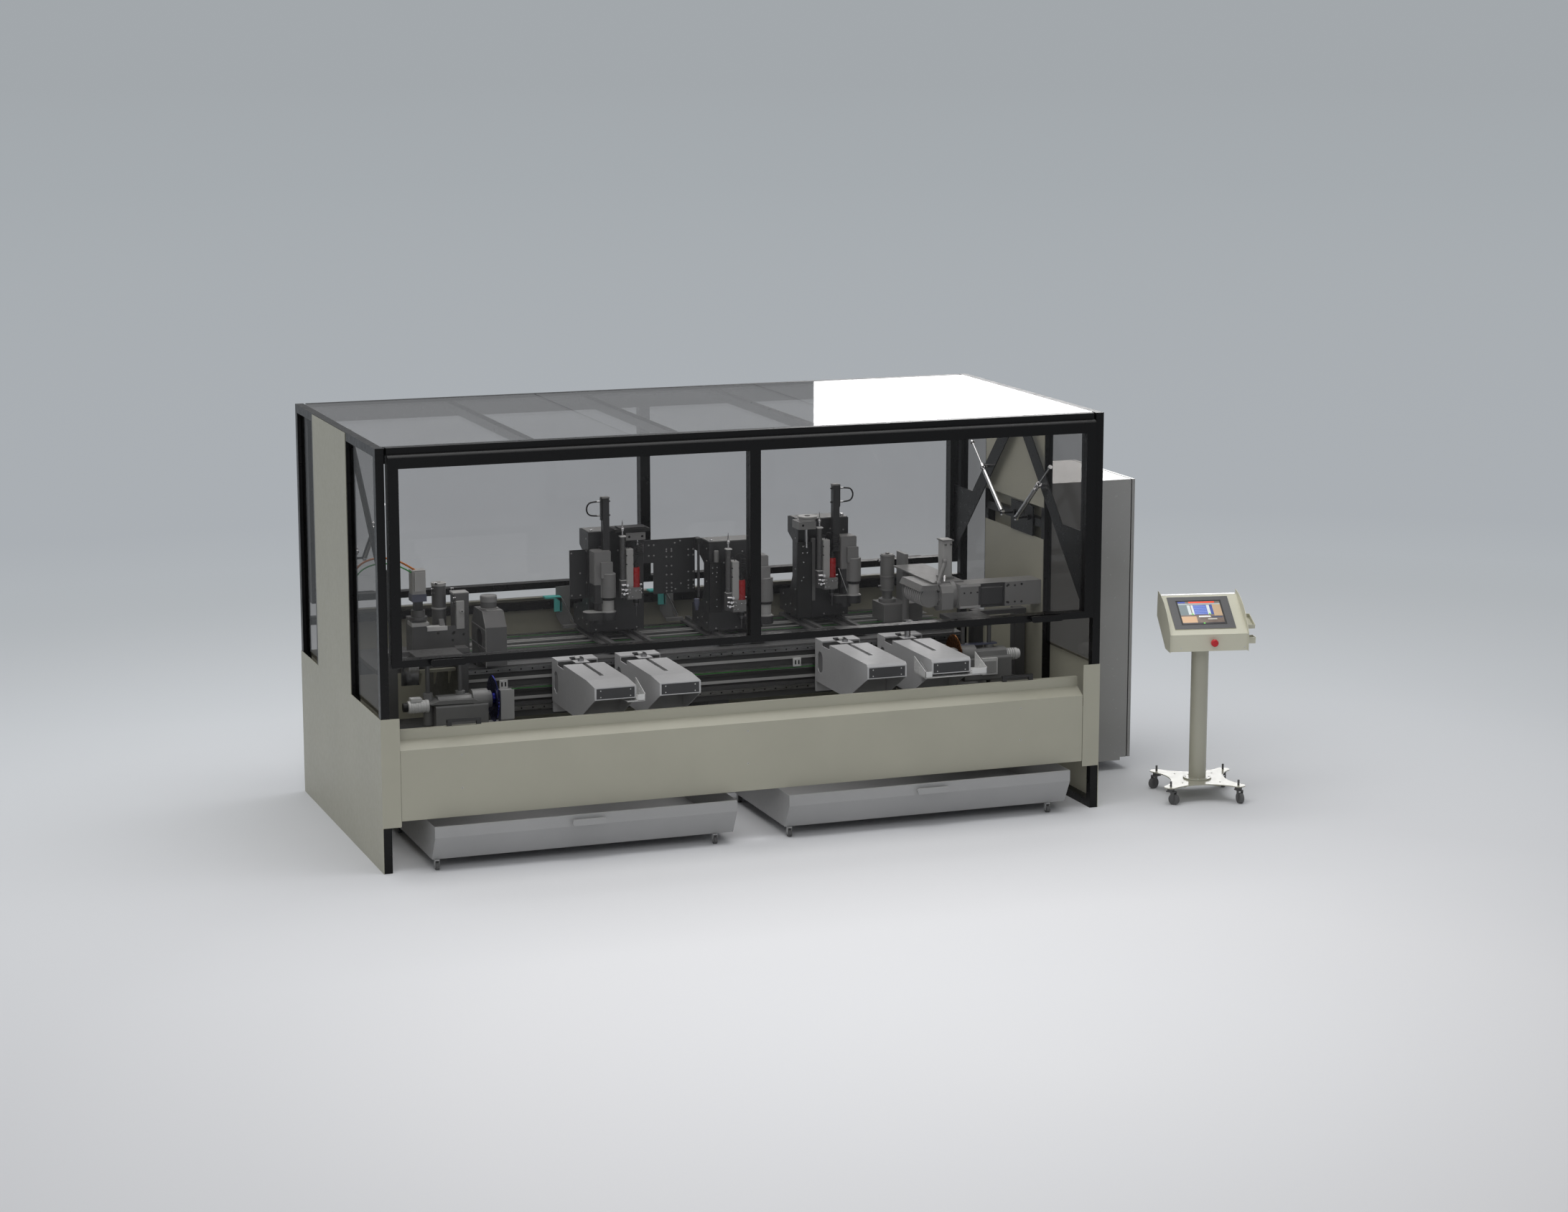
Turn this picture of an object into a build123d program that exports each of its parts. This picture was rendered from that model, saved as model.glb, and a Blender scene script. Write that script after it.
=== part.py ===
from build123d import *
from math import asin, atan2, cos, degrees, hypot, pi, radians, sin, tan
import os

# Machining centre for long profiles, with its wheeled operator console.
# Millimetres, +Z up, X along the machine, Y from the operator's side to the back.
# While it is modelled, X, Y and Z are zero at the front left bottom corner of the
# enclosure. Before it is written, the whole is shifted so that the origin lies
# under the middle of everything, on the floor.

# Enclosure
length = 4030
depth = 1880
height = 2200
post = 45
sheet = 3
inner_sheet = 2
sill = 810
mid_post_front_reach = 295
mid_post_rear_reach = 490
glass = 6
roof_pane = 8
seam = 4
joist_count = 4
joist_inset = 821
roof_beam_set_back = 75
corner_cover_width = 96
corner_cover_low = 240

# Apron and rear panel
apron_inset = 98
apron_low = 270
apron_crease = 640
apron_slope_top = 680
apron_top = 732
apron_set_back = 70
apron_flange = 28
apron_handle_inset = 455
rear_panel_low = 240
rear_panel_top = 1030

# Hoods
hood_gap = 13
hood_proud = 30
hood_depth = 67
hood_low = 1078
hood_rail = 37
hood_stile = 53
hood_top_rail_down = 104
hood_cove_down = 55
hood_band_down = 32
hood_band_depth = 40
mullion = 59
arm_width = 95
arm_plate = 6
arm_foot = 53
gusset_height = 414
pivot_down = 72
pivot_pin = 15
pivot_clearance = 0.06
handle_length = 190
handle_height = 34
handle_bar = 14
hood_handle_inset = 345

# Hood stays
stay_inset = 130
stay_foot_reach = 95
stay_foot_down = 628
stay_eye_reach = 555
stay_tip_reach = 560
stay_barrel = 14
stay_rod = 5
stay_eye_bore = 10
stay_eye_outer = 16
stay_tip = 12
stay_stud = 6
barrel_length = 330

# Bed
bed_left = 700
bed_right_inset = 390
bed_front = 1000
bed_back_inset = 120
bed_low = 540
bed_top = 830
rail_height = 25
rail_depth = 20
rail_start = 15
rail_end = 5
front_rail_tops = (820, 601)
rack_top = 714
rack_height = 22
rack_depth = 12
deck_rail_front_inset = 110
deck_rail_back_inset = 70
deck_rail_width = 25
deck_rail_height = 20
leg_places = (0.068, 0.5, 0.932)
leg_width = 120

# Clamps
clamp_places = (0.2027, 0.3248, 0.7259, 0.8541)
clamp_sloped = (True, True, False, False)
clamp_width = 229
clamp_front = 151
clamp_top = 868
clamp_face_low = 788
clamp_face_high = 855
clamp_low = 624
clamp_plate_back = 724
clamp_cover_front = 840
clamp_back = 946
clamp_wall = 4
clamp_slot = 22
clamp_slot_front = 390
jaw_y = 780
jaw_radius = 17
jaw_heights = (16, 16, 16, 100)
jaw_travel = 300
jaw_seat = 0.3
jaw_foot = 30
jaw_stop = 2
jaw_guide = 40
jaw_guide_depth = 20
jaw_guide_web = 8
jaw_guide_down = 50
guide_clearance = 0.5

# Machining heads: kind, spindle x, column left, column right, column front
head_names = ("left", "middle", "right")
head_places = (0.3386, 0.5554, 0.7619)
head_spindle_shift = (81.5, -1, 13)
head_width = (323, 308, 308)
head_column_front = (1400, 1200, 1400)
head_drive_offset = (-159, 148, 137)
head_post_offset = (-161, None, 38)
head_tip = (994, 921, 975)
carriage_plate_low = 855
carriage_plate = 13
cross_rail_height = 20
cross_rail_width = 25
cross_rail_offset = 110
column_low = 898
column_height = 566
column_depth = 300
column_wall = 8
middle_column_short = 62
wing_width = 94
wing_height = 275
wing_up = 187
wing_plate = 10
wing_back = 50
long_plate_length = 304
long_plate_height = 312
long_plate_up = 182
long_plate_step = 59
long_plate_step_height = 132
long_plate_back = 250
gear_offset = 24
spindle_set_off = 110
spindle_radius = 21
spindle_length = 109

# End saws
blade_radius = 125
blade_thickness = 3
blade_teeth = 40
blade_flange = 34
arbor = 12
saw_rod_radius = 12
saw_rod_y = 620
saw_rod_low = 585
saw_rod_high = 950
blade_y = 600
saw_motor_start = 42
saw_motor_end = 327
saw_motor_front = 62
saw_motor_back = 78
saw_motor_down = 140
saw_guard_start = 18
saw_guard_end = 86
saw_sleeve_wall = 14
saw_shelf = 40
saw_top_plate = 25
left_stand = (240, 690)
left_blade_x = 752
left_blade_z = 742
left_rods = (402, 578)
right_blade_inset = 612
right_blade_z = 781
right_rod_insets = (550, 390)

# End units on the bed
unit_packer = 15
unit_base = 25
unit_plate = 12
servo_width = 76
left_unit = (200, 690, 930, 1500)
left_plate = (430, 715)
left_plate_y = 990
left_plate_top = 1070
left_ears = (434, 572)
left_body_top = 1010
left_servo = (440, 950)
left_flange_low = 1130
left_neck_low = 1180
left_gearbox_low = 1230
left_servo_low = 1270
left_servo_top = 1400
left_cylinder = (594, 1100)
left_cylinder_top = 1290
left_box = (656, 736, 1090)
left_box_top = 1242
guard_left = 780
guard_right = 895
guard_sheet = 3
guard_top = 1157
port_at = (837, 970)
port_radius = 43.5
port_top = 1230
arm_box_length = 500
arm_box_front = 680
arm_box_depth = 140
arm_box_low = 1030
arm_box_height = 137
right_actuator_top = 1400
right_cylinder_inset = 645

# Cabinet
cabinet_gap = 3
cabinet_right = 567
cabinet_front = 751
cabinet_depth = 800
cabinet_low = 75
cabinet_top = 1700
door_thickness = 18
door_gap = 6
hinge_pin = 4

# Bins
bin_left_inset = 251
bin_right_inset = 202
bin_space = 294
bin_front = -75
bin_toe = -5
bin_back = 880
bin_top = 242
bin_crease = 183
bin_low = 55
bin_sheet = 2
bin_wheel_radius = 20
bin_wheel_width = 18
bin_wheel_insets = (24, 104)
bin_wheel_y = (-8, 790)
wheel_clearance = 0.06

# Console
console_gap = 648
console_y = 60
console_turn = -12.3
console_width = 440
console_column = 48.5
console_plate = 3
console_base_z = 92
console_base = 6
castor_reach = 270
castor_first = 30.5
castor_wheel = 30
castor_trail = 22
castor_headings = (250, 200, 300, 270)
button_radius = 20
button_stem = 11
side_front = (-195, 958)
side_crown = (-70, 1090)
side_tip = (100, 1152)
side_back = (110, 1012)
side_bend = (-90, 862)
side_low = (-195, 858)
housing_front = (-186, 861)
housing_sill = (-186, 955)
housing_top_front = (75, 1128)
housing_top_back = (105, 1128)
housing_back = (107, 1013)
housing_bend = (-88, 865)
bezel_width = 346
bezel_height = 252
bezel_offset = -12
button_at = (25, 910)

# What follows from the sizes above
jaw_guide_top = clamp_top - jaw_guide_down
pivot_y = depth / 2
pivot_z = height - pivot_down
mid_post_front = pivot_y - mid_post_front_reach
mid_post_rear = pivot_y + mid_post_rear_reach
stay_foot_y = pivot_y - stay_foot_reach
stay_foot_z = pivot_z - stay_foot_down
stay_rail_low = stay_foot_z - 38
hood_top_rail_low = height - hood_top_rail_down
hood_cove_low = height - hood_cove_down
hood_band_low = height - hood_band_down
arm_foot_z = hood_low + arm_foot
gusset_top = arm_foot_z + gusset_height
bed_right = length - bed_right_inset
bed_back = depth - bed_back_inset
bed_length = bed_right - bed_left
deck_rail_front = bed_front + deck_rail_front_inset
deck_rail_back = bed_back - deck_rail_back_inset
leg_positions = [bed_left + place * bed_length for place in leg_places]
clamp_centres = [bed_left + place * bed_length for place in clamp_places]
head_middle = [bed_left + place * bed_length for place in head_places]
head_column_left = [middle - width / 2 for middle, width in zip(head_middle, head_width)]
head_column_right = [middle + width / 2 for middle, width in zip(head_middle, head_width)]
head_spindle_x = [middle + shift for middle, shift in zip(head_middle, head_spindle_shift)]
bin_width = (length - bin_left_inset - bin_right_inset - bin_space) / 2
bin_lefts = (bin_left_inset, bin_left_inset + bin_width + bin_space)
cabinet_left = length + cabinet_gap
cabinet_end = length + cabinet_right
console_x = length + console_gap
left_blade_at = (left_blade_x, blade_y, left_blade_z)
right_blade_at = (length - right_blade_inset, blade_y, right_blade_z)
right_rods = [length - inset for inset in right_rod_insets]


def block(x0, x1, y0, y1, z0, z1):
    """A rectangular solid between two corners."""
    return Pos((x0 + x1) / 2, (y0 + y1) / 2, (z0 + z1) / 2) * Box(x1 - x0, y1 - y0, z1 - z0)


def round_bar(axis, at, radius, start, end):
    """A cylinder along one axis; at holds the two other coordinates."""
    bar = Cylinder(radius, end - start)
    middle = (start + end) / 2
    if axis == "x":
        return Pos(middle, at[0], at[1]) * Rot(0, 90, 0) * bar
    if axis == "y":
        return Pos(at[0], middle, at[1]) * Rot(90, 0, 0) * bar
    return Pos(at[0], at[1], middle) * bar


def profile_x(points, x0, x1):
    """A (y, z) outline run along X."""
    face = make_face(Polyline(*points, close=True))
    return extrude(Plane.YZ.offset(x0) * face, amount=x1 - x0)


def profile_y(points, y0, y1):
    """An (x, z) outline run along Y."""
    face = make_face(Polyline(*points, close=True))
    return extrude(Plane.XZ.offset(-y1) * face, amount=y1 - y0)


def sheet_outline(path, thickness):
    """The outline of a sheet folded along a path, its thickness on the left."""
    offset_points = []
    for i, (a, b) in enumerate(path):
        before = path[max(i - 1, 0)]
        after = path[min(i + 1, len(path) - 1)]
        turn_in = atan2(b - before[1], a - before[0]) if i > 0 else None
        turn_out = atan2(after[1] - b, after[0] - a) if i < len(path) - 1 else None
        turn_in = turn_out if turn_in is None else turn_in
        turn_out = turn_in if turn_out is None else turn_out
        middle = (turn_in + turn_out) / 2
        reach = thickness / cos((turn_out - turn_in) / 2)
        offset_points.append((a - reach * sin(middle), b + reach * cos(middle)))
    return list(path) + offset_points[::-1]


def group(*shapes):
    """Several solids in one node."""
    solids = []
    for shape in shapes:
        solids.extend(shape.solids())
    return Compound(children=solids)


def mirror_x(shape):
    """The same shape on the other side of the machine's middle."""
    return mirror(shape, Plane.YZ.offset(length / 2))


def mirror_y(shape):
    """The same shape on the other side of the hoods' pivot."""
    return mirror(shape, Plane.XZ.offset(-pivot_y))


def bridge_handle(x0, x1, y, z, height=handle_height, stand_off=34):
    """A moulded bridge handle along X, standing off towards the operator."""
    bar = block(x0, x1, y - stand_off, y - stand_off + handle_bar, z - height / 2, z + height / 2)
    bar = fillet(bar.edges().filter_by(Axis.Y), height / 2 - 0.5)
    feet = [
        round_bar("y", (x, z), height / 2 - 4, y - stand_off + 2, y)
        for x in (x0 + height / 2, x1 - height / 2)
    ]
    return bar + feet[0] + feet[1]


# Enclosure frame
def make_side_frame():
    """The left side frame's tubes, stay bracket with its studs, and the hoods' pivot pin."""
    top_low = height - post
    tubes = [block(0, post, 0, depth, top_low, height), block(0, post, 0, depth, 0, post)]
    for y in (0, mid_post_front, mid_post_rear, depth - post):
        tubes.append(block(0, post, y, y + post, post, top_low))
    tubes.append(block(0, post, mid_post_front + post, mid_post_rear, stay_rail_low, stay_rail_low + post))
    rear_foot_y = 2 * pivot_y - stay_foot_y
    plate = block(post, post + 8, stay_foot_y - 55, rear_foot_y + 55, stay_foot_z - 100, stay_foot_z + 70)
    for y in (stay_foot_y, rear_foot_y):
        plate += round_bar("x", (y, stay_foot_z), stay_stud, post, stay_inset + 14)
        plate += round_bar("x", (y, stay_foot_z), 16, post, post + 20)
    tubes.append(plate)
    tubes.append(block(0, post, pivot_y - 40, pivot_y + 40, pivot_z - 45, top_low))
    ear = block(post, post + 10, pivot_y - 40, pivot_y + 40, pivot_z - 45, height - roof_pane - 2)
    ear += round_bar("x", (pivot_y, pivot_z), pivot_pin, post, hood_left + hood_stile + 8)
    tubes.append(ear)
    return tubes


def make_enclosure_frame():
    """Square tubes: two side frames, roof beams and joists, long rails front and back."""
    left = make_side_frame()
    tubes = left + [mirror_x(tube) for tube in left]
    top = height - roof_pane
    beam_low = height - 2 * post
    for y in (roof_beam_set_back, depth - roof_beam_set_back - post):
        tubes.append(block(post, length - post, y, y + post, beam_low, top))
    front_tie = apron_crease - 60
    rear_tie = rear_panel_top - 70
    tubes.append(block(post, length - post, sheet, sheet + post, front_tie, front_tie + post))
    tubes.append(block(post, length - post, depth - sheet - post, depth - sheet, rear_tie, rear_tie + post))
    tubes.append(block(post, length - post, depth - post, depth, 0, post))
    step = (length - 2 * joist_inset - post) / (joist_count - 1)
    front = roof_beam_set_back + post
    for i in range(joist_count):
        x = joist_inset + i * step
        tubes.append(block(x, x + post, front, depth - front, top - post, top))
    return group(*tubes)


def make_roof_glass():
    """Three tinted panes lying on the roof beams and joists."""
    top = height
    low = height - roof_pane
    span = (length - 2 * post) / 3
    panes = []
    for i in range(3):
        x0 = post + i * span + (seam / 2 if i else 0)
        x1 = post + (i + 1) * span - (seam / 2 if i < 2 else 0)
        panes.append(block(x0, x1, hood_band_depth + 6, depth - hood_band_depth - 6, low, top))
    return group(*panes)


def make_side_windows():
    """A narrow tinted pane between the posts at each end of each side."""
    x0 = (post - glass) / 2
    high = height - post
    front = block(x0, x0 + glass, post, mid_post_front, sill, high)
    rear = block(x0, x0 + glass, mid_post_rear + post, depth - post, sill, high)
    return group(front, rear, mirror_x(front), mirror_x(rear))


def make_side_panels():
    """Beige side sheets: a full lower sheet, a strip up to the roof, corner returns."""
    strip0 = mid_post_front + 12
    strip1 = mid_post_rear + 10
    sheets = [
        block(-sheet, 0, -sheet, depth + sheet, 0, sill),
        block(-sheet, 0, strip0, strip1, sill, height - 5),
    ]
    for y0 in (-sheet, depth):
        sheets.append(block(0, corner_cover_width, y0, y0 + sheet, corner_cover_low, sill))
    inner0 = mid_post_front + 10
    inner1 = mid_post_rear + post - 10
    skin = post + inner_sheet
    sheets.append(block(post, skin, inner0, inner1, sill - 400, stay_foot_z - 100))
    sheets.append(block(post, skin, inner0, inner1, stay_foot_z + 80, pivot_z - 60))
    return group(*sheets, *[mirror_x(piece) for piece in sheets])


# Apron and rear panel
def make_front_apron():
    """A folded sheet below the loading gap, with two bridge handles on its flange."""
    path = [
        (apron_flange, apron_low), (0, apron_low), (0, apron_crease),
        (apron_set_back, apron_slope_top), (apron_set_back, apron_top),
        (apron_set_back + apron_flange, apron_top),
    ]
    sheet_metal = profile_x(sheet_outline(path[::-1], sheet), apron_inset, length - apron_inset)
    handles = []
    y0 = apron_set_back + 2
    y1 = apron_set_back + 24
    half = handle_length / 2 - 3
    for x in (apron_handle_inset, length - apron_handle_inset):
        bar = block(x - half, x + half, y0, y1, apron_top + 20, apron_top + 32)
        bar = fillet(bar.edges().filter_by(Axis.Z), 6)
        for foot in (x - half + 14, x + half - 14):
            bar += block(foot - 12, foot + 12, y0 + 2, y1 - 2, apron_top, apron_top + 22)
        handles.append(bar)
    return group(sheet_metal, *handles)


def make_rear_panel():
    """A flat rear sheet with a return at the top and bottom."""
    path = [
        (depth - 40, rear_panel_low), (depth, rear_panel_low), (depth, rear_panel_top),
        (depth - 40, rear_panel_top),
    ]
    return profile_x(sheet_outline(path[::-1], -sheet), apron_inset, length - apron_inset)


# Hoods
hood_left = post + hood_gap
hood_right = length - post - hood_gap


def make_hood_frame():
    """The front hood's welded frame with its two lifting arms, in place."""
    y0 = -hood_proud
    y1 = y0 + hood_depth
    frame = block(hood_left, hood_right, y0, y1, hood_low, hood_low + hood_rail)
    frame += block(hood_left, hood_right, y0, y1, hood_top_rail_low, hood_cove_low)
    for x in (hood_left, hood_right - hood_stile):
        frame += block(x, x + hood_stile, y0, y1, hood_low, hood_cove_low)
    middle = length / 2
    frame += block(middle - mullion / 2, middle + mullion / 2, y0, y1, hood_low, hood_cove_low)
    low = hood_cove_low
    lip = low + 6
    cove = Line((y1, low), (y0, low)) + Line((y0, low), (y0, lip))
    cove += RadiusArc((y0, lip), (0, hood_band_low), 34)
    cove += Line((0, hood_band_low), (0, height)) + Line((0, height), (hood_band_depth, height))
    cove += Line((hood_band_depth, height), (hood_band_depth, low + 18))
    cove += Line((hood_band_depth, low + 18), (y1, low + 18)) + Line((y1, low + 18), (y1, low))
    band = extrude(Plane.YZ.offset(hood_left) * make_face(cove), amount=hood_right - hood_left)
    frame += band
    return frame


def arm_slope():
    """The arm's slope: its lower edge runs from the pivot's eye to the hood's stile."""
    run = pivot_y - (hood_depth - hood_proud)
    rise = pivot_z - arm_foot_z
    return atan2(rise, run) - asin(arm_width / 2 / hypot(rise, run))


def arm_outline():
    """The lifting arm: an eye round the pivot, a straight strip and a gusset."""
    y1 = hood_depth - hood_proud
    slope = arm_slope()
    run = hypot(pivot_y - y1, pivot_z - arm_foot_z) + arm_width
    axle = Pos(pivot_y, pivot_z)
    strip = axle * Rot(0, 0, degrees(slope)) * Pos(-run / 2, 0) * Rectangle(run, arm_width)
    ahead = Pos(y1 + depth / 2, height / 2) * Rectangle(depth, height)
    top_y = pivot_y - (pivot_z - gusset_top) / tan(slope)
    gusset = make_face(Polyline((y1, arm_foot_z), (y1, gusset_top), (top_y, gusset_top), close=True))
    shape = (strip + gusset) & ahead
    shape += axle * Circle(arm_width / 2)
    shape -= axle * Circle(pivot_pin + pivot_clearance)
    eye = stay_eye()
    shape -= Pos(eye[0], eye[1]) * Circle(stay_stud + pivot_clearance)
    return shape


def stay_eye():
    """Where the front stay's eye sits on the arm's middle line, as (y, z)."""
    slope = arm_slope()
    return pivot_y - stay_eye_reach * cos(slope), pivot_z - stay_eye_reach * sin(slope)


def make_arms(x0):
    """The two arms of the front hood; x0 is the left one's outer face."""
    left = extrude(Plane.YZ.offset(x0) * arm_outline(), amount=arm_plate)
    return left, mirror_x(left)


rear_arm_x = hood_left + 22
front_arm_x = rear_arm_x + arm_plate + 4


def make_hood_glass():
    """Two panes between the rails, the stiles and the mullion."""
    y0 = -hood_proud + 24
    low = hood_low + hood_rail
    middle = length / 2
    left = block(hood_left + hood_stile, middle - mullion / 2, y0, y0 + glass, low, hood_top_rail_low)
    right = block(middle + mullion / 2, hood_right - hood_stile, y0, y0 + glass, low, hood_top_rail_low)
    return group(left, right)


def make_hood(front):
    """Frame, arms and handles of one hood."""
    frame = make_hood_frame()
    if not front:
        frame = mirror_y(frame)
    arms = make_arms(front_arm_x if front else rear_arm_x)
    if not front:
        arms = [mirror_y(arm) for arm in arms]
    solid = frame + arms[0] + arms[1]
    handles = []
    half = handle_length / 2
    for x in (hood_handle_inset, length - hood_handle_inset):
        handle = bridge_handle(x - half, x + half, -hood_proud, hood_low + hood_rail / 2)
        handles.append(handle if front else mirror_y(handle))
    return group(solid, *handles)


# Hood stays
def stay_line():
    """The stay's foot, its eye and the unit vector between them, on the left side."""
    eye_y, eye_z = stay_eye()
    foot = Vector(stay_inset, stay_foot_y, stay_foot_z)
    eye = Vector(stay_inset, eye_y, eye_z)
    return foot, eye, (eye - foot).normalized()


def make_stays():
    """The front hood's two gas stays: barrel, rod, foot eye and tip, one each side."""
    foot, eye, direction = stay_line()
    along = Plane(origin=foot, z_dir=direction)
    stay = along * Pos(0, 0, (barrel_length + 16) / 2) * Cylinder(stay_barrel, barrel_length - 16)
    stay += along * Pos(0, 0, stay_tip_reach / 2) * Cylinder(stay_rod, stay_tip_reach)
    stay += along * Pos(0, 0, stay_tip_reach + 6) * Cylinder(stay_tip, 12)
    stay += round_bar("x", (foot.Y, foot.Z), 15, foot.X - 8, foot.X + 8)
    stay -= round_bar("x", (foot.Y, foot.Z), stay_stud + pivot_clearance, foot.X - 30, foot.X + 30)
    return group(stay, mirror_x(stay))


def make_stay_eyes(arm_x):
    """Swivel eyes on the arms: each holds a stay's rod and turns on its own pin."""
    foot, eye, direction = stay_line()
    along = Plane(origin=eye, z_dir=direction)
    inner = eye.X - stay_eye_outer + 4
    holder = along * Cylinder(stay_eye_outer, 24)
    holder += round_bar("x", (eye.Y, eye.Z), stay_stud, arm_x - 6, inner)
    holder += round_bar("x", (eye.Y, eye.Z), 10, arm_x + arm_plate + 0.4, inner)
    holder -= along * Cylinder(stay_eye_bore, 60)
    return group(holder, mirror_x(holder))


# Bed
def make_bed():
    """The welded bed with its three portal legs."""
    bed = block(bed_left, bed_right, bed_front, bed_back, bed_low, bed_top)
    groove_low = front_rail_tops[1] + 20
    groove_high = rack_top - rack_height - 14
    bed -= block(bed_left - 1, bed_right + 1, bed_front - 1, bed_front + 18, groove_low, groove_high)
    for x in leg_positions:
        leg = block(x - leg_width / 2, x + leg_width / 2, bed_front + 20, bed_back - 20, 0, bed_low)
        leg -= block(x - leg_width, x + leg_width, bed_front + 110, bed_back - 110, 80, bed_low - 90)
        bed += leg
        bed += block(x - leg_width / 2 - 30, x + leg_width / 2 + 30, bed_front + 10, bed_front + 130, 0, 14)
        bed += block(x - leg_width / 2 - 30, x + leg_width / 2 + 30, bed_back - 130, bed_back - 10, 0, 14)
    return bed


def make_bed_rails():
    """Two guide rails on the bed's front face and two on its top."""
    x0 = bed_left + rail_start
    x1 = bed_right - rail_end
    rails = []
    for top in front_rail_tops:
        rails.append(block(x0, x1, bed_front - rail_depth, bed_front, top - rail_height, top))
    half = deck_rail_width / 2
    for y in (deck_rail_front, deck_rail_back):
        rails.append(block(x0, x1, y - half, y + half, bed_top, bed_top + deck_rail_height))
    return group(*rails)


def make_gear_racks():
    """The racks that the clamps and the heads drive along."""
    x0 = bed_left + rail_start
    x1 = bed_right - rail_end
    front = block(x0, x1, bed_front - rack_depth, bed_front, rack_top - rack_height, rack_top)
    deck = block(x0, x1, bed_back - 18, bed_back - 2, bed_top, bed_top + 14)
    return group(front, deck)


# Clamps
def make_clamp(index):
    """A folded clamp table on a carriage plate that rides the two front rails."""
    x = clamp_centres[index]
    half = clamp_width / 2
    back = clamp_back
    outline = [
        (clamp_front, clamp_face_high), (clamp_front, clamp_face_low), (453, clamp_low),
        (back, clamp_low), (back, clamp_top), (302, clamp_top),
    ]
    if not clamp_sloped[index]:
        outline = outline[1:5] + [(clamp_front + 14, clamp_top), (clamp_front, clamp_face_high)]
    body = profile_x(outline, x - half, x + half)
    inner = [
        (clamp_front - 9, clamp_face_low), (clamp_front + 12, clamp_face_low + 0.5),
        (clamp_front + 12, clamp_face_high - 6), (302, clamp_top - 8),
        (back - 10, clamp_top - 8), (back - 10, clamp_low - 9), (443, clamp_low - 9),
    ]
    if not clamp_sloped[index]:
        inner[2:4] = [(clamp_front + 12, clamp_top - 8)]
    body -= profile_x(inner, x - half + clamp_wall, x + half - clamp_wall)
    high = clamp_top + 5
    neck = clamp_slot / 2
    slot = block(x - neck, x + neck, clamp_slot_front, clamp_cover_front, clamp_top - 20, high)
    gap = block(x - half - 1, x + half + 1, clamp_plate_back, clamp_cover_front, clamp_top - 26, high)
    window = profile_x(
        [(830, 705), (850, 684), (885, 684), (905, 705), (905, 782), (885, 803), (850, 803), (830, 782)],
        x - half - 1, x + half + 1,
    )
    body -= slot
    body -= gap
    body -= window
    inside = half - clamp_wall
    web = jaw_y - jaw_travel - jaw_foot - jaw_stop
    body += block(x - inside, x + inside, web - jaw_guide_web, web, clamp_low + 16, jaw_guide_top)
    guide = jaw_guide / 2
    guide_low = jaw_guide_top - jaw_guide_depth
    body += block(x - guide, x + guide, web - jaw_guide_web, back - 10, guide_low, jaw_guide_top)
    plate_back = bed_front - rail_depth - guide_clearance
    carriage_low = front_rail_tops[1] - 40
    carriage = block(x - half + 8, x + half - 8, back, plate_back - 12, carriage_low, front_rail_tops[0] + 24)
    for top in front_rail_tops:
        hook = [
            (back, top + 14), (bed_front - 4, top + 14), (bed_front - 4, top + guide_clearance),
            (plate_back, top + guide_clearance), (plate_back, top - rail_height - guide_clearance),
            (bed_front - 4, top - rail_height - guide_clearance), (bed_front - 4, top - rail_height - 14),
            (back, top - rail_height - 14),
        ]
        carriage += profile_x(hook, x - half + 20, x - 20)
        carriage += profile_x(hook, x + 20, x + half - 20)
    return body + carriage


def make_jaw(index):
    """The clamping post that slides along the table's slot."""
    x = clamp_centres[index]
    top = clamp_top + jaw_heights[index]
    jaw = round_bar("z", (x, jaw_y), jaw_radius, clamp_top + 0.5, top)
    jaw += round_bar("z", (x, jaw_y), clamp_slot / 2 - 1, clamp_top - 30, clamp_top + 1)
    low = jaw_guide_top + jaw_seat
    jaw += block(x - jaw_foot, x + jaw_foot, jaw_y - jaw_foot, jaw_y + jaw_foot, low, clamp_top - 29)
    if jaw_heights[index] > 50:
        jaw += block(x - 20, x + 20, jaw_y - 30, jaw_y + 12, top - 34, top)
    return jaw


# Machining heads
def make_head_carriage(index):
    """Cross slide: a plate on the deck rails that carries two rails along Y."""
    x = (head_column_left[index] + head_column_right[index]) / 2
    low = carriage_plate_low
    high = low + carriage_plate
    plate = block(x - 150, x + 150, deck_rail_front - 40, deck_rail_back + 40, low, high)
    plate -= block(x - 60, x + 60, deck_rail_front + 120, deck_rail_back - 120, low - 1, high + 1)
    clear = guide_clearance
    for y in (deck_rail_front, deck_rail_back):
        half = deck_rail_width / 2 + clear
        for shift in (-95, 95):
            shoe = block(x + shift - 40, x + shift + 40, y - half - 14, y + half + 14, bed_top + 4, low)
            groove_high = bed_top + deck_rail_height + clear
            shoe -= block(x + shift - 41, x + shift + 41, y - half, y + half, bed_top, groove_high)
            plate += shoe
    half = cross_rail_width / 2
    y0 = deck_rail_front - 30
    y1 = deck_rail_back + 30
    for side in (-cross_rail_offset, cross_rail_offset):
        plate += block(x + side - half, x + side + half, y0, y1, high, high + cross_rail_height)
    return plate


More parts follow.
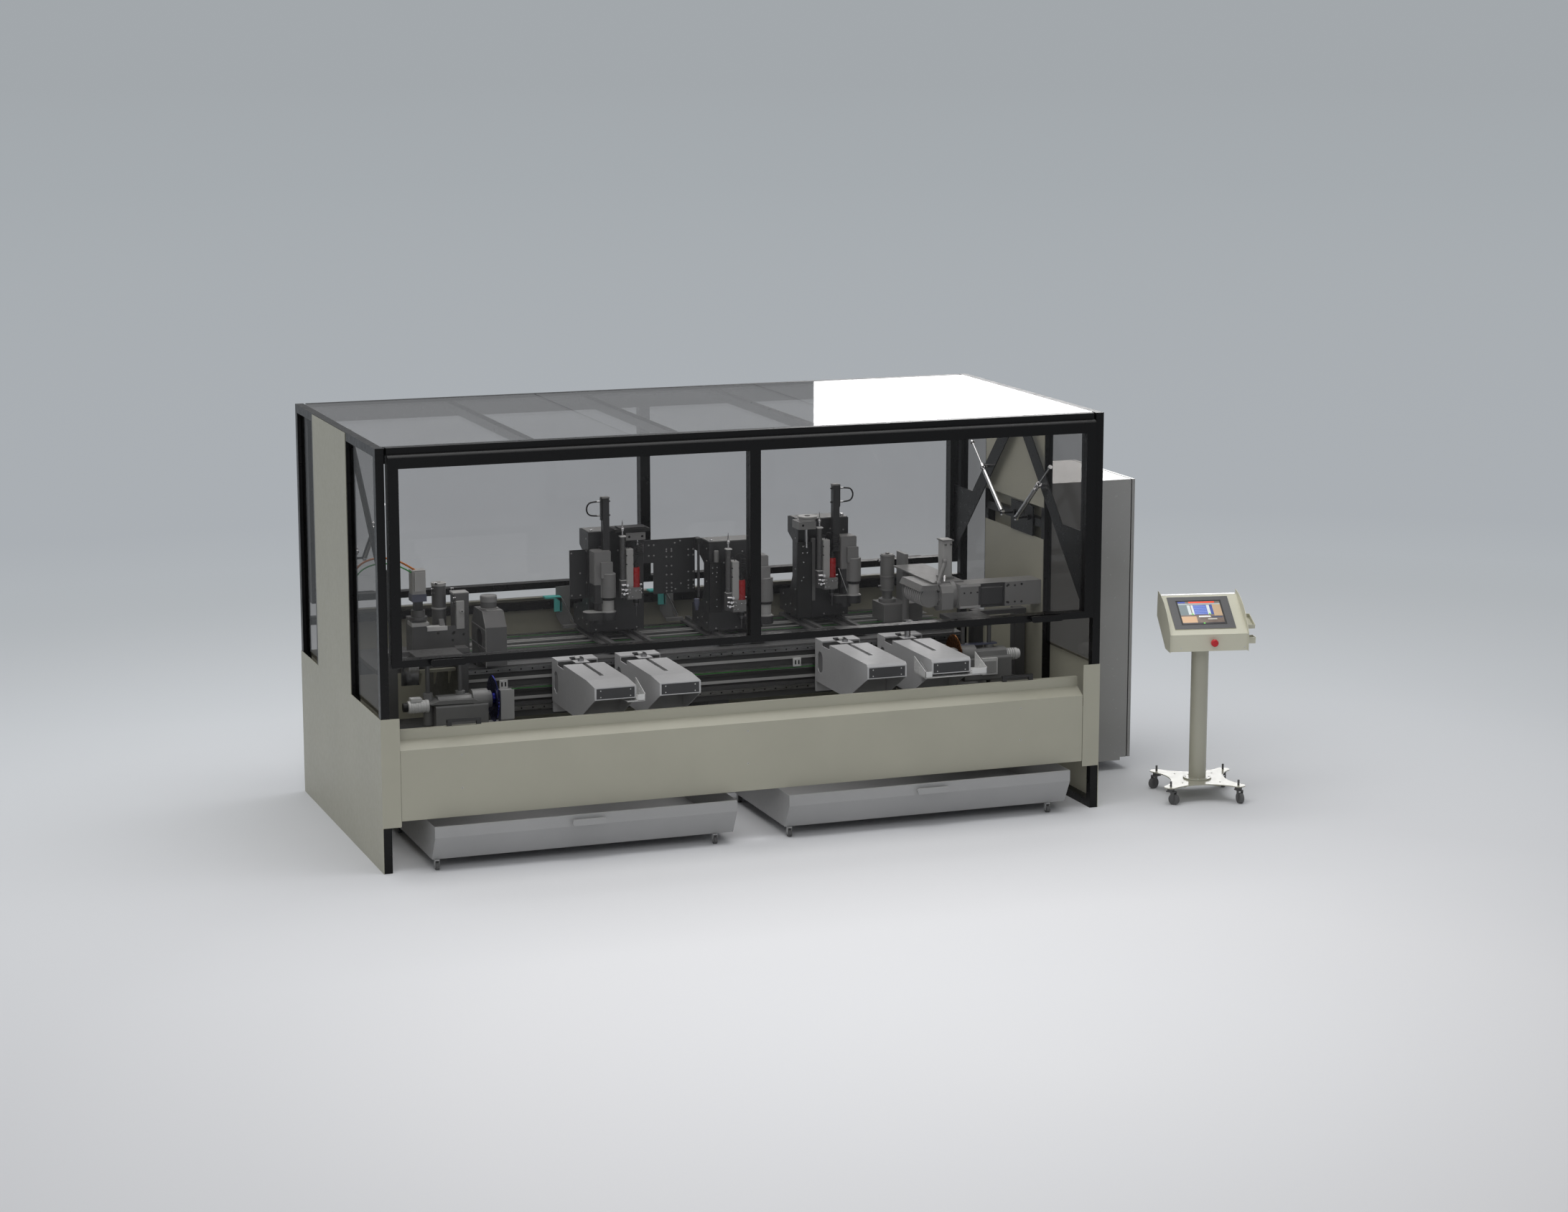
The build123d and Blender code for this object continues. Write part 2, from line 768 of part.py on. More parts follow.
def make_head_column(index):
    """The upright: folded steel column, its shoes, side cheek, wing plate and drive."""
    x0 = head_column_left[index]
    x1 = head_column_right[index]
    y0 = head_column_front[index]
    y1 = y0 + column_depth
    low = column_low
    high = low + (column_height if index != 1 else column_height - middle_column_short)
    wall = column_wall
    column = block(x0, x1, y0, y0 + wall, low, high)
    cheek = [
        (y0, low), (y1, low), (y1, low + 110), (y0 + 130, low + 150), (y0 + 90, low + 230),
        (y0 + 90, high - 130), (y0 + 170, high - 90), (y0 + 170, high), (y0, high),
    ]
    column += profile_x(cheek, x0, x0 + wall)
    column += profile_x(cheek, x1 - wall, x1)
    column += block(x0, x1, y0, y0 + 170, high - wall, high)
    column += block(x0, x1, y0, y1, low, low + wall)
    middle = (x0 + x1) / 2
    rail_top = carriage_plate_low + carriage_plate + cross_rail_height
    clear = guide_clearance
    half = cross_rail_width / 2 + clear
    for x in (middle - cross_rail_offset, middle + cross_rail_offset):
        for y in (y0 + 40, y1 - 90):
            shoe = block(x - half - 8, x + half + 8, y, y + 50, rail_top - 14, low)
            shoe -= block(x - half, x + half, y - 1, y + 51, rail_top - 20, rail_top + clear)
            column += shoe
    spindle_x = head_spindle_x[index]
    rail_x = spindle_x - 35
    column += block(rail_x - 22, rail_x + 22, y0 - 45, y0, low + 180, high - 90)
    drive_x = spindle_x + head_drive_offset[index]
    gear_x = drive_x - gear_offset
    drive = make_drive(index, drive_x, gear_x, y0)
    pieces = [column, drive]
    if index == 0:
        z = low + wing_up
        y = y0 + wing_back
        pieces.append(block(x0 - wing_width, x0, y, y + wing_plate, z, z + wing_height))
    if index == 1:
        plate_top = low + long_plate_up + long_plate_height
        plate_low = low + long_plate_up
        end_x = x0 - long_plate_length
        step_x = end_x + long_plate_step
        step_z = plate_top - long_plate_step_height
        plate = [
            (end_x, plate_top), (x0, plate_top), (x0, plate_low),
            (step_x, plate_low), (step_x, step_z), (end_x, step_z),
        ]
        plate_y = y0 + long_plate_back
        column += block(x0, x0 + 24, y0 + 160, plate_y + wing_plate, high - 80, high - wall)
        pieces = [column, drive, profile_y(plate, plate_y, plate_y + wing_plate)]
    return group(*pieces)


def make_drive(index, drive_x, gear_x, y0):
    """Milling drive: gear motor, upright motor, collar, neck, belt guard and pulley."""
    base = column_low + (85 if index != 1 else 42)
    y = y0 - 95
    guard_shape = Pos(drive_x - 45, y + 25) * Rectangle(100, 88) + Pos(drive_x, y + 5) * Circle(46)
    guard_shape += Pos(drive_x - 95, y + 25) * Circle(44)
    if index != 0:
        guard_shape = Pos(drive_x - 40, y + 30) * Rectangle(90, 80) + Pos(drive_x, y + 5) * Circle(46)
        guard_shape += Pos(drive_x - 85, y + 35) * Circle(42)
    drive = extrude(Plane.XY.offset(base) * guard_shape, amount=46)
    drive += round_bar("z", (drive_x, y), 33, base + 40, base + 118)
    drive += round_bar("z", (drive_x, y), 36, base + 112, base + 128)
    drive += round_bar("z", (drive_x, y), 43, base + 128, base + 255)
    gear0 = gear_x - 58
    gear1 = gear_x + 42
    gear = block(gear0, gear1, y0 - 105, y0, base + 95, base + 385)
    gear = fillet(gear.edges().filter_by(Axis.Z), 10)
    drive += gear
    drive += round_bar("z", (gear_x - 10, y0 - 50), 34, base + 40, base + 100)
    drive += round_bar("z", (drive_x - 45, y + 25), 36, base - 22, base + 1)
    if head_post_offset[index] is not None:
        post_x = head_spindle_x[index] + head_post_offset[index]
        drive += block(post_x - 19, post_x + 19, y0 - 78, y0 - 40, base + 300, 1670)
        drive += block(post_x - 24, post_x + 24, y0 - 40, y0, base + 330, base + 400)
    return drive


def make_head_slide(index):
    """The vertical slide: plate, pneumatic cylinder, holder and the spindle motor."""
    x = head_spindle_x[index]
    y = head_column_front[index] - spindle_set_off
    tip = head_tip[index]
    red = tip + 169
    face = head_column_front[index] - 45 - jaw_seat
    slide = block(x - 57, x - 17, y - 12, face, red - 70, red + 215)
    slide = fillet(slide.edges().filter_by(Axis.Z), 3)
    slide += block(x - 57, x + 24, y - 28, y + 30, red - 66, red - 2)
    slide += round_bar("z", (x, y), spindle_radius, red - 4, red + spindle_length)
    slide += round_bar("z", (x, y), 12, red + spindle_length, red + spindle_length + 24)
    slide += round_bar("z", (x - 74, y + 10), 15, red + 35, red + 290)
    slide += block(x - 92, x - 56, y - 8, y + 28, red - 60, red + 38)
    return slide


def make_head_tool(index):
    """Collet and cutter."""
    x = head_spindle_x[index]
    y = head_column_front[index] - spindle_set_off
    tip = head_tip[index]
    tool = round_bar("z", (x, y), 17, tip + 72, tip + 102.5)
    tool += round_bar("z", (x, y), 10, tip + 58, tip + 72)
    tool += round_bar("z", (x, y), 3, tip, tip + 58)
    return tool


# End saws
def make_blade(at, side):
    """A toothed saw blade across the machine, its flange, and its arbor towards the motor."""
    x, y, z = at
    outline = []
    for i in range(blade_teeth):
        start = 2 * pi * i / blade_teeth
        outline.append((y + blade_radius * cos(start), z + blade_radius * sin(start)))
        gullet = start + 1.5 * pi / blade_teeth
        outline.append((y + (blade_radius - 7) * cos(gullet), z + (blade_radius - 7) * sin(gullet)))
    blade = profile_x(outline, x - blade_thickness / 2, x + blade_thickness / 2)
    blade += round_bar("x", (y, z), blade_flange, x - 8, x + 8)
    blade += round_bar("x", (y, z), arbor, min(x, x + side * 40), max(x, x + side * 40))
    return blade


def make_saw(at, rods, side):
    """Saw slide: the motor, the sleeves that ride two upright rods, and the blade's guard."""
    x, y, z = at
    ends = sorted((x + side * saw_motor_start, x + side * saw_motor_end))
    top = z - 6
    motor = block(ends[0], ends[1], y - saw_motor_front, y + saw_motor_back, z - saw_motor_down, top)
    motor = fillet(motor.edges().filter_by(Axis.X), 14)
    cap = [
        (y - 46, top - 2), (y - 40, top + 28), (y - 20, top + 40),
        (y + 30, top + 40), (y + 52, top + 26), (y + 60, top - 2),
    ]
    motor += profile_x(cap, ends[0] + 20, ends[1] - 20)
    nose = sorted((x + side * 14, x + side * (saw_motor_start + 2)))
    motor += round_bar("x", (y, z), 46, nose[0], nose[1])
    collar = sorted((x + side * 34, x + side * 120))
    motor += round_bar("x", (y, z), 58, collar[0], collar[1])
    tray = sorted((x - side * saw_guard_end, x + side * 110))
    motor += block(tray[0], tray[1], y - 100, y + 90, z - saw_motor_down - 12, z - saw_motor_down + 2)
    guard = sorted((x - side * saw_guard_start, x - side * saw_guard_end))
    motor += block(guard[0], guard[1], y - 100, y - 40, z - saw_motor_down, z + 58)
    for rod in rods:
        motor += round_bar("z", (rod, saw_rod_y), saw_rod_radius + saw_sleeve_wall, z - 120, z + 52)
    bore = sorted((x - side * 20, x + side * 60))
    motor -= round_bar("x", (y, z), arbor + pivot_clearance, bore[0], bore[1])
    for rod in rods:
        motor -= round_bar("z", (rod, saw_rod_y), saw_rod_radius + guide_clearance, z - 200, z + 200)
    return motor


def make_saw_stands():
    """Both end stands: uprights on the floor, the shelf and the rods of each saw."""
    stands = []
    right_stand = (bed_right + 10, length - post - inner_sheet - 13)
    for rods, x0, x1 in ((left_rods, *left_stand), (right_rods, *right_stand)):
        first = min(rods)
        last = max(rods)
        shelf_low = saw_rod_low - saw_shelf
        shelf_top = saw_rod_high + saw_top_plate
        stand = block(min(x0, first - 50), max(x1, last + 50), 560, 960, shelf_low, saw_rod_low)
        for x in (x0, x1 - 80):
            stand += block(x, x + 80, 905, 985, 0, saw_rod_low)
            stand += block(x - 15, x + 95, 890, 1000, 0, 12)
        for rod in rods:
            stand += round_bar("z", (rod, saw_rod_y), saw_rod_radius, saw_rod_low, saw_rod_high)
        stand += block(first - 40, last + 40, 590, 860, saw_rod_high, shelf_top)
        for x in (x0, x1 - 60):
            stand += block(x, x + 60, 860, 930, shelf_low, shelf_top)
        stand += block(x0, x1, 845, 885, saw_rod_high, shelf_top)
        stands.append(stand)
    return group(*stands)


# Left end unit
def make_left_end_unit():
    """Base plate with the eared front plate, the upright servo drive and three cylinders."""
    low = bed_top + unit_packer
    deck = low + unit_base
    behind = left_plate_y + unit_plate
    front = block(left_plate[0], left_plate[1], left_plate_y, behind, deck, left_plate_top)
    for x in left_ears:
        ear = [
            (left_plate_y, left_plate_top), (left_plate_y + 34, left_plate_top + 38),
            (left_plate_y + 34, left_plate_top - 10), (left_plate_y, left_plate_top - 10),
        ]
        front += profile_x(ear, x, x + 28)
    x, y = left_servo
    half = servo_width / 2
    mount = block(x - half - 2, x + half + 2, y - 25, y + 110, deck, left_flange_low - 50)
    mount += block(x - half - 2, x + half + 2, y - 25, y + 110, left_flange_low - 50, left_flange_low)
    flange = round_bar("z", left_servo, 50, left_flange_low, left_flange_low + 14)
    flange += round_bar("z", left_servo, 38, left_flange_low + 14, left_neck_low)
    neck = block(x - 22, x + 22, y - 22, y + 22, left_neck_low, left_gearbox_low)
    gearbox = block(x - half - 2, x + half + 2, y - half - 2, y + half + 2, left_gearbox_low, left_servo_low)
    servo = block(x - half, x + half, y - half, y + half, left_servo_low, left_servo_top)
    servo = fillet(servo.edges().filter_by(Axis.Z), 6)
    return group(
        block(left_unit[0], left_unit[1], left_unit[2], left_unit[3], low, deck),
        front,
        block(left_plate[0] + 55, left_box[1], behind, left_plate_y + 190, deck, left_body_top),
        block(left_unit[0], bed_left, left_unit[3] - 60, left_unit[3], bed_top - 90, low),
        mount, flange, neck, gearbox, servo,
        round_bar("z", left_cylinder, 38.5, left_body_top, left_cylinder_top - 12),
        round_bar("z", left_cylinder, 40, left_cylinder_top - 12, left_cylinder_top),
        block(left_box[0], left_box[1], behind, left_box[2], left_body_top, left_box_top),
    )


def make_left_guard():
    """The faceted guard round the left cutter, with its extraction port."""
    deck = bed_top + unit_packer + unit_base
    outline = [(1120, deck), (1120, 1060), (1060, guard_top), (880, guard_top), (820, 1080), (820, deck)]
    guard = profile_x(outline, guard_left, guard_right)
    inner_top = guard_top - guard_sheet
    inner = [
        (1117, deck - 1), (1117, 1059), (1058, inner_top), (882, inner_top), (823, 1079), (823, deck - 1),
    ]
    guard -= profile_x(inner, guard_left + guard_sheet, guard_right - guard_sheet)
    guard += round_bar("z", port_at, port_radius, guard_top, port_top)
    guard -= round_bar("z", port_at, port_radius - 2.5, guard_top - 10, port_top + 10)
    guard -= round_bar("x", (960, 1000), 55, guard_left - 10, guard_left + 10)
    guard -= round_bar("x", (960, 905), 30, guard_left - 10, guard_left + 10)
    guard += block(guard_left, guard_right, 1040, 1090, bed_top, deck)
    return guard


# Right end unit
def make_right_end_unit():
    """The arm box on the enclosure's post, its pivoting drive and the two upright cylinders."""
    right = length - post - inner_sheet
    x = right - arm_box_length
    y0 = arm_box_front
    y1 = y0 + arm_box_depth
    low = arm_box_low
    high = low + arm_box_height
    middle = (low + high) / 2
    arm = block(x, right, y0, y1, low, high)
    cover = block(x + 131, x + 264, y0 - 10, y0, low + 12, high - 20)
    cover = chamfer(cover.faces().sort_by(Axis.Y)[0].edges(), 6)
    end_plate = block(x + 268, right, y0 - 4, y0, low, high)
    drum = round_bar("x", (y0 + 100, middle), 78, x - 26, x)
    housing = profile_x(
        [
            (y0 + 22, low - 4), (y0 + 22, high - 46), (y0 + 46, high - 10), (y0 + 100, high + 6),
            (y0 + 150, high - 10), (y0 + 178, middle), (y0 + 150, low - 8), (y0 + 100, low - 22),
        ],
        x - 95, x - 26,
    )
    motor = round_bar("y", (x - 150, middle - 8), 55, y0 + 70, y0 + 330)
    motor += round_bar("y", (x - 150, middle - 8), 60, y0 + 330, y0 + 344)
    saddle = block(x - 150, x - 95, y0 + 80, y0 + 300, low + 10, middle - 10)
    lid = profile_y(
        [(x - 212, high - 34), (x - 196, high - 6), (x - 110, high - 6), (x - 96, high - 34)],
        y0 + 60, y0 + 360,
    )
    actuator = block(x - 38, x + 22, y0 + 150, y0 + 230, high + 8, right_actuator_top)
    actuator = fillet(actuator.edges().filter_by(Axis.Z), 14)
    deck = block(x - 130, x + 60, y0 + 80, 1350, high, high + 8)
    cylinder_x = right - right_cylinder_inset
    axis = (cylinder_x, 1400)
    top = bed_top + unit_packer + 110
    base = block(cylinder_x - 60, cylinder_x + 180, 1300, 1480, bed_top + unit_base, top)
    feet = block(cylinder_x - 40, cylinder_x + 160, 1320, 1460, bed_top, bed_top + unit_base)
    return group(
        arm, cover, end_plate, drum, housing, motor + saddle + lid, actuator, deck, base, feet,
        round_bar("z", axis, 50, top, top + 20),
        round_bar("z", axis, 29, top + 20, top + 65),
        round_bar("z", axis, 41, top + 65, top + 270),
        block(cylinder_x + 90, cylinder_x + 110, 1350, 1480, top, top + 280),
        round_bar("z", (x - 90, 1250), 20, bed_top, high),
    )


# Cabinet
def make_cabinet_body():
    """The control cabinet bolted to the enclosure's right side, on its base frame."""
    x1 = cabinet_end - door_thickness - door_gap
    y1 = cabinet_front + cabinet_depth
    body = block(cabinet_left, x1, cabinet_front, y1, cabinet_low, cabinet_top)
    body -= block(cabinet_left + 2, x1 + 1, cabinet_front + 2, y1 - 2, cabinet_low + 2, cabinet_top - 2)
    body += block(x1 - 25, x1, cabinet_front, cabinet_front + 25, cabinet_low, cabinet_top)
    body += block(x1 - 25, x1, y1 - 25, y1, cabinet_low, cabinet_top)
    body += block(x1 - 25, x1, cabinet_front, y1, cabinet_low, cabinet_low + 25)
    body += block(x1 - 25, x1, cabinet_front, y1, cabinet_top - 25, cabinet_top)
    panel_low = cabinet_low + 60
    panel_high = cabinet_top - 60
    body += block(cabinet_left + 2, cabinet_left + 6, cabinet_front + 60, y1 - 60, panel_low, panel_high)
    body += block(cabinet_left, cabinet_end - 63, cabinet_front, y1, cabinet_low - 18, cabinet_low)
    for x in (cabinet_left + 40, cabinet_end - 110):
        for y in (cabinet_front + 380, y1 - 60):
            body += round_bar("z", (x, y), 22, 0, cabinet_low - 18)
    hinge_x, hinge_y = cabinet_hinge()
    for z in hinge_heights():
        bracket = block(x1 - 30, x1, y1, y1 + 14, z - 30, z - 2)
        bracket += block(x1 - 2, hinge_x + 6, y1 + 4, y1 + 14, z - 30, z - 2)
        bracket += round_bar("z", (hinge_x, hinge_y), hinge_pin, z - 30, z + 28)
        body += bracket
    return body


def cabinet_hinge():
    """The hinge line of the cabinet's door, as (x, y)."""
    return cabinet_end - door_thickness / 2, cabinet_front + cabinet_depth + 9


def hinge_heights():
    """The heights of the door's two hinges."""
    return cabinet_low + 150, cabinet_top - 150


def make_cabinet_door():
    """The cabinet's folded door on its +X side, with two hinge knuckles at the back."""
    x1 = cabinet_end - door_thickness
    y1 = cabinet_front + cabinet_depth
    door = block(x1, cabinet_end, cabinet_front, y1, cabinet_low, cabinet_top)
    door -= block(x1 - 1, cabinet_end - 2, cabinet_front + 2, y1 - 2, cabinet_low + 2, cabinet_top - 2)
    hinge_x, hinge_y = cabinet_hinge()
    for z in hinge_heights():
        door += block(hinge_x - 7, hinge_x + 7, y1 - 2, hinge_y, z, z + 26)
        door += round_bar("z", (hinge_x, hinge_y), 7, z, z + 26)
        door -= round_bar("z", (hinge_x, hinge_y), hinge_pin + pivot_clearance, z - 5, z + 30)
    return door


# Bins
def make_bin(left):
    """A chip bin: folded tray, handle and four castor forks."""
    right = left + bin_width
    outline = [
        (bin_front, bin_top), (bin_front, bin_crease), (bin_toe, bin_low),
        (bin_back, bin_low), (bin_back, bin_top),
    ]
    inner = [
        (bin_front + bin_sheet, bin_top + 1), (bin_front + bin_sheet, bin_crease + 0.6),
        (bin_toe + 1.2, bin_low + bin_sheet), (bin_back - bin_sheet, bin_low + bin_sheet),
        (bin_back - bin_sheet, bin_top + 1),
    ]
    tray = profile_x(outline, left, right)
    tray -= profile_x(inner, left + bin_sheet, right - bin_sheet)
    tray += block(left, right, bin_front, bin_front + 14, bin_top - bin_sheet, bin_top)
    pieces = [tray]
    middle = (left + right) / 2
    pieces.append(bridge_handle(middle - 92, middle + 92, bin_front, 206, 32, 30))
    for y in bin_wheel_y:
        behind = 20 if y < 100 else 0
        for x in (left + bin_wheel_insets[0], right - bin_wheel_insets[1]):
            half = bin_wheel_width / 2 + 1
            fork = block(x - half - 2, x + half + 2, y - 12, y + 20 + behind, bin_low - 5, bin_low)
            for cheek_x in (x - half - 2, x + half):
                fork += block(cheek_x, cheek_x + 2, y - 8, y + 14, bin_wheel_radius - 7, bin_low - 3)
            fork -= round_bar("x", (y, bin_wheel_radius), 4 + wheel_clearance, x - 40, x + 40)
            tray += fork
    pieces[0] = tray
    return group(*pieces)


def make_bin_wheels(left, y):
    """Two wheels with their axles on one line across the bin."""
    right = left + bin_width
    wheels = []
    for x in (left + bin_wheel_insets[0], right - bin_wheel_insets[1]):
        half = bin_wheel_width / 2
        wheel = round_bar("x", (y, bin_wheel_radius), bin_wheel_radius, x - half, x + half)
        wheel += round_bar("x", (y, bin_wheel_radius), 4, x - half - 3, x + half + 3)
        wheels.append(wheel)
    return group(*wheels)


# Console
def on_console(shape):
    """Turn and move a shape from the console's own frame to its place."""
    return Pos(console_x, console_y) * Rot(0, 0, console_turn) * shape


def make_console_stand():
    """The four-lobed base plate, its ribs, flange and column."""
    points = []
    for i in range(4):
        angle = radians(castor_first - console_turn + 90 * i)
        points.append((castor_reach * cos(angle), castor_reach * sin(angle)))
    plate = None
    for i in range(4):
        angle = castor_first - console_turn + 90 * i
        arm = Pos(castor_reach / 2, 0) * Rectangle(castor_reach, 60)
        lobe = Rot(0, 0, angle) * (Pos(castor_reach, 0) * Circle(38) + arm)
        plate = lobe if plate is None else plate + lobe
    plate += Circle(115)
    solid = extrude(Plane.XY.offset(console_base_z) * plate, amount=console_base)
    top = console_base_z + console_base
    solid += round_bar("z", (0, 0), 79, top, top + 8)
    column = round_bar("z", (0, 0), console_column, top, 1000)
    under = profile_x([(housing_bend[0], 0), housing_bend, housing_back, (housing_back[0], 0)], -200, 200)
    solid += column & under
    for i in range(4):
        angle = castor_first - console_turn + 90 * i
        rib = Rot(0, 0, angle) * block(40, 170, -20, 20, console_base_z - 18, console_base_z)
        solid += rib
    for x, y in points:
        solid -= round_bar("z", (x, y), 6 + pivot_clearance, 0, 200)
    return on_console(solid)


def make_console_head():
    """The sloped housing between two side plates, with the screen's bezel and two trays."""
    half = console_width / 2
    outer = [housing_front, housing_sill, housing_top_front, housing_top_back, housing_back, housing_bend]
    housing = profile_x(outer, -half, half)
    inner = [(-183, 868), (-183, 953.4), (76, 1125), (102, 1125), (104, 1016), (-87, 872)]
    housing -= profile_x(inner, -half + 3, half - 3)
    side = Line(side_tip, side_back) + Line(side_back, side_bend)
    side += Line(side_bend, side_low) + Line(side_low, side_front)
    side += ThreePointArc(side_front, side_crown, side_tip)
    for x in (-half - console_plate, half):
        housing += extrude(Plane.YZ.offset(x) * make_face(side), amount=console_plate)
    housing -= round_bar("y", button_at, button_stem + pivot_clearance, -200, -150)
    rise = housing_top_front[1] - housing_sill[1]
    run = housing_top_front[0] - housing_sill[0]
    slope = atan2(rise, run)
    face = Plane(origin=(0, *housing_sill), x_dir=(1, 0, 0), z_dir=(0, -sin(slope), cos(slope)))
    middle = hypot(rise, run) / 2 + 12
    bezel = face * Pos(bezel_offset, middle, 1.5) * Box(bezel_width, bezel_height, 3)
    tray_x = half + console_plate + 37
    tray = Box(74, 130, 24) - Pos(0, 0, 3) * Box(66, 122, 24)
    tray = Pos(tray_x, 10, 985) * Rot(18, 0, 0) * tray
    cup = Pos(tray_x, -40, 892) * (Box(74, 60, 36) - Pos(0, 0, 3) * Box(68, 54, 36))
    return group(*[on_console(piece) for piece in (housing, bezel, tray, cup)])


def make_e_stop():
    """The mushroom button: a domed head on its stem."""
    button = round_bar("y", button_at, button_stem, -204, -160)
    cap = round_bar("y", button_at, button_radius, -222, -200)
    cap = fillet(cap.edges().sort_by(Axis.Y)[0], 7)
    return on_console(button + cap)


def make_castor(index):
    """A swivel castor: threaded stem, fork and wheel."""
    angle = radians(castor_first + 90 * index)
    x = console_x + castor_reach * cos(angle)
    y = console_y + castor_reach * sin(angle)
    half = 11
    fork = round_bar("z", (0, 0), 6, 78, 128)
    fork += round_bar("z", (0, 0), 20, 74, 91.5)
    fork += block(-22, 30, -half - 4, half + 4, 68, 74)
    for side in (-1, 1):
        y0, y1 = sorted((side * (half + 1), side * (half + 4)))
        fork += block(castor_trail - 15, castor_trail + 8, y0, y1, castor_wheel - 10, 70)
    fork -= round_bar("y", (castor_trail, castor_wheel), 5 + wheel_clearance, -40, 40)
    wheel = round_bar("y", (castor_trail, castor_wheel), castor_wheel, -half, half)
    wheel += round_bar("y", (castor_trail, castor_wheel), 5, -half - 5, half + 5)
    turn = Pos(x, y) * Rot(0, 0, castor_headings[index])
    return group(turn * fork, turn * wheel)


nodes = {}


def add(name, shape):
    """Register a node."""
    nodes[name] = shape
    print(name, len(shape.solids()))


def build_all():
    """Make every node in machine coordinates."""
    add("enclosure_frame", make_enclosure_frame())
    add("roof_glass", make_roof_glass())
    add("side_windows", make_side_windows())
    add("side_panels", make_side_panels())
    add("front_apron", make_front_apron())
    add("rear_panel", make_rear_panel())
    add("front_hood_frame", make_hood(True))
    add("front_hood_glass", make_hood_glass())
    add("rear_hood_frame", make_hood(False))
    add("rear_hood_glass", mirror_y(make_hood_glass()))
    add("front_stays", make_stays())
    add("rear_stays", mirror_y(make_stays()))
    add("front_stay_eyes", make_stay_eyes(front_arm_x))
    add("rear_stay_eyes", mirror_y(make_stay_eyes(rear_arm_x)))
    add("bed", make_bed())
    add("bed_rails", make_bed_rails())
    add("gear_racks", make_gear_racks())
    for i in range(4):
        add(f"clamp_{i + 1}", make_clamp(i))
        add(f"clamp_{i + 1}_jaw", make_jaw(i))
    for i, name in enumerate(head_names):
        add(f"{name}_head_carriage", make_head_carriage(i))
        add(f"{name}_head_column", make_head_column(i))
        add(f"{name}_head_slide", make_head_slide(i))
        add(f"{name}_head_tool", make_head_tool(i))
    add("saw_stands", make_saw_stands())
    add("left_saw", make_saw(left_blade_at, left_rods, -1))
    add("left_blade", make_blade(left_blade_at, -1))
    add("right_saw", make_saw(right_blade_at, right_rods, 1))
    add("right_blade", make_blade(right_blade_at, 1))
    add("left_end_unit", make_left_end_unit())
    add("left_guard", make_left_guard())
    add("right_end_unit", make_right_end_unit())
    add("cabinet_body", make_cabinet_body())
    add("cabinet_door", make_cabinet_door())
    for name, left in zip(("left", "right"), bin_lefts):
        add(f"{name}_bin", make_bin(left))
        add(f"{name}_bin_front_wheels", make_bin_wheels(left, bin_wheel_y[0]))
        add(f"{name}_bin_rear_wheels", make_bin_wheels(left, bin_wheel_y[1]))
    add("console_stand", make_console_stand())
    add("console_head", make_console_head())
    add("e_stop", make_e_stop())
    for i in range(4):
        add(f"console_castor_{i + 1}", make_castor(i))


build_all()
boxes = [shape.bounding_box() for shape in nodes.values()]
middle_x = (min(box.min.X for box in boxes) + max(box.max.X for box in boxes)) / 2
middle_y = (min(box.min.Y for box in boxes) + max(box.max.Y for box in boxes)) / 2
shift = Location((-middle_x, -middle_y, -min(box.min.Z for box in boxes)))
os.makedirs("parts", exist_ok=True)
for name, shape in nodes.items():
    solids = [solid.moved(shift) for solid in shape.solids()]
    export_step(Compound(children=solids), f"parts/{name}.step")
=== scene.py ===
import math

import bmesh
import bpy
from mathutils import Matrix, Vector


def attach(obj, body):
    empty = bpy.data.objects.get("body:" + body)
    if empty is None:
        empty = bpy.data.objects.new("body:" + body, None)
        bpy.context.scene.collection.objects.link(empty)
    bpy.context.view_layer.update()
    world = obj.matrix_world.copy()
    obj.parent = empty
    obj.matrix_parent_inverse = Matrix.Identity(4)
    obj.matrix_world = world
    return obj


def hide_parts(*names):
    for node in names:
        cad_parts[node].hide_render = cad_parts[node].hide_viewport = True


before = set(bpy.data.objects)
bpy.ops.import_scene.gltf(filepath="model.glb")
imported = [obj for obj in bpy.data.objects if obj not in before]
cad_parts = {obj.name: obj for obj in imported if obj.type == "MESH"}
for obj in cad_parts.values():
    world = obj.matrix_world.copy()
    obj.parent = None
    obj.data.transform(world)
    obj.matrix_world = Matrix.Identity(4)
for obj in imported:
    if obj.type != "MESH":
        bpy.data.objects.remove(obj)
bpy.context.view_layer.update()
scene = bpy.context.scene
scene.view_settings.view_transform = "Standard"
print("frame loaded")

# the machine's own corner, front left on the floor, seen from the row's origin
machineShift = (-2.490636, -0.859680, 0.0)


def place(x, y, z):
    # millimetres from the enclosure's front left corner to metres in the frame
    return Vector((x / 1000 + machineShift[0], y / 1000 + machineShift[1], z / 1000))


# camera
cameraSet = {
    "x": -3817, "y": -16236, "z": 4564,
    "azimuth": 20.283, "elevation": -10.821,
    "lens": 76.66, "sensor": 36.0,
}


def addCamera(values):
    data = bpy.data.cameras.new("camera")
    data.lens = values["lens"]
    data.sensor_width = values["sensor"]
    data.clip_end = 2000
    camera = bpy.data.objects.new("camera", data)
    camera.location = place(values["x"], values["y"], values["z"])
    camera.rotation_euler = (
        math.radians(90 + values["elevation"]), 0, math.radians(-values["azimuth"]),
    )
    scene.collection.objects.link(camera)
    scene.camera = camera


addCamera(cameraSet)


# node helpers
def addNode(tree, kind, given={}, **settings):
    # a node with its settings, then its inputs linked or set, by name or place
    node = tree.nodes.new(kind)
    for key, value in settings.items():
        setattr(node, key, value)
    for key, value in given.items():
        if isinstance(value, bpy.types.NodeSocket):
            tree.links.new(value, node.inputs[key])
        else:
            node.inputs[key].default_value = value
    return node


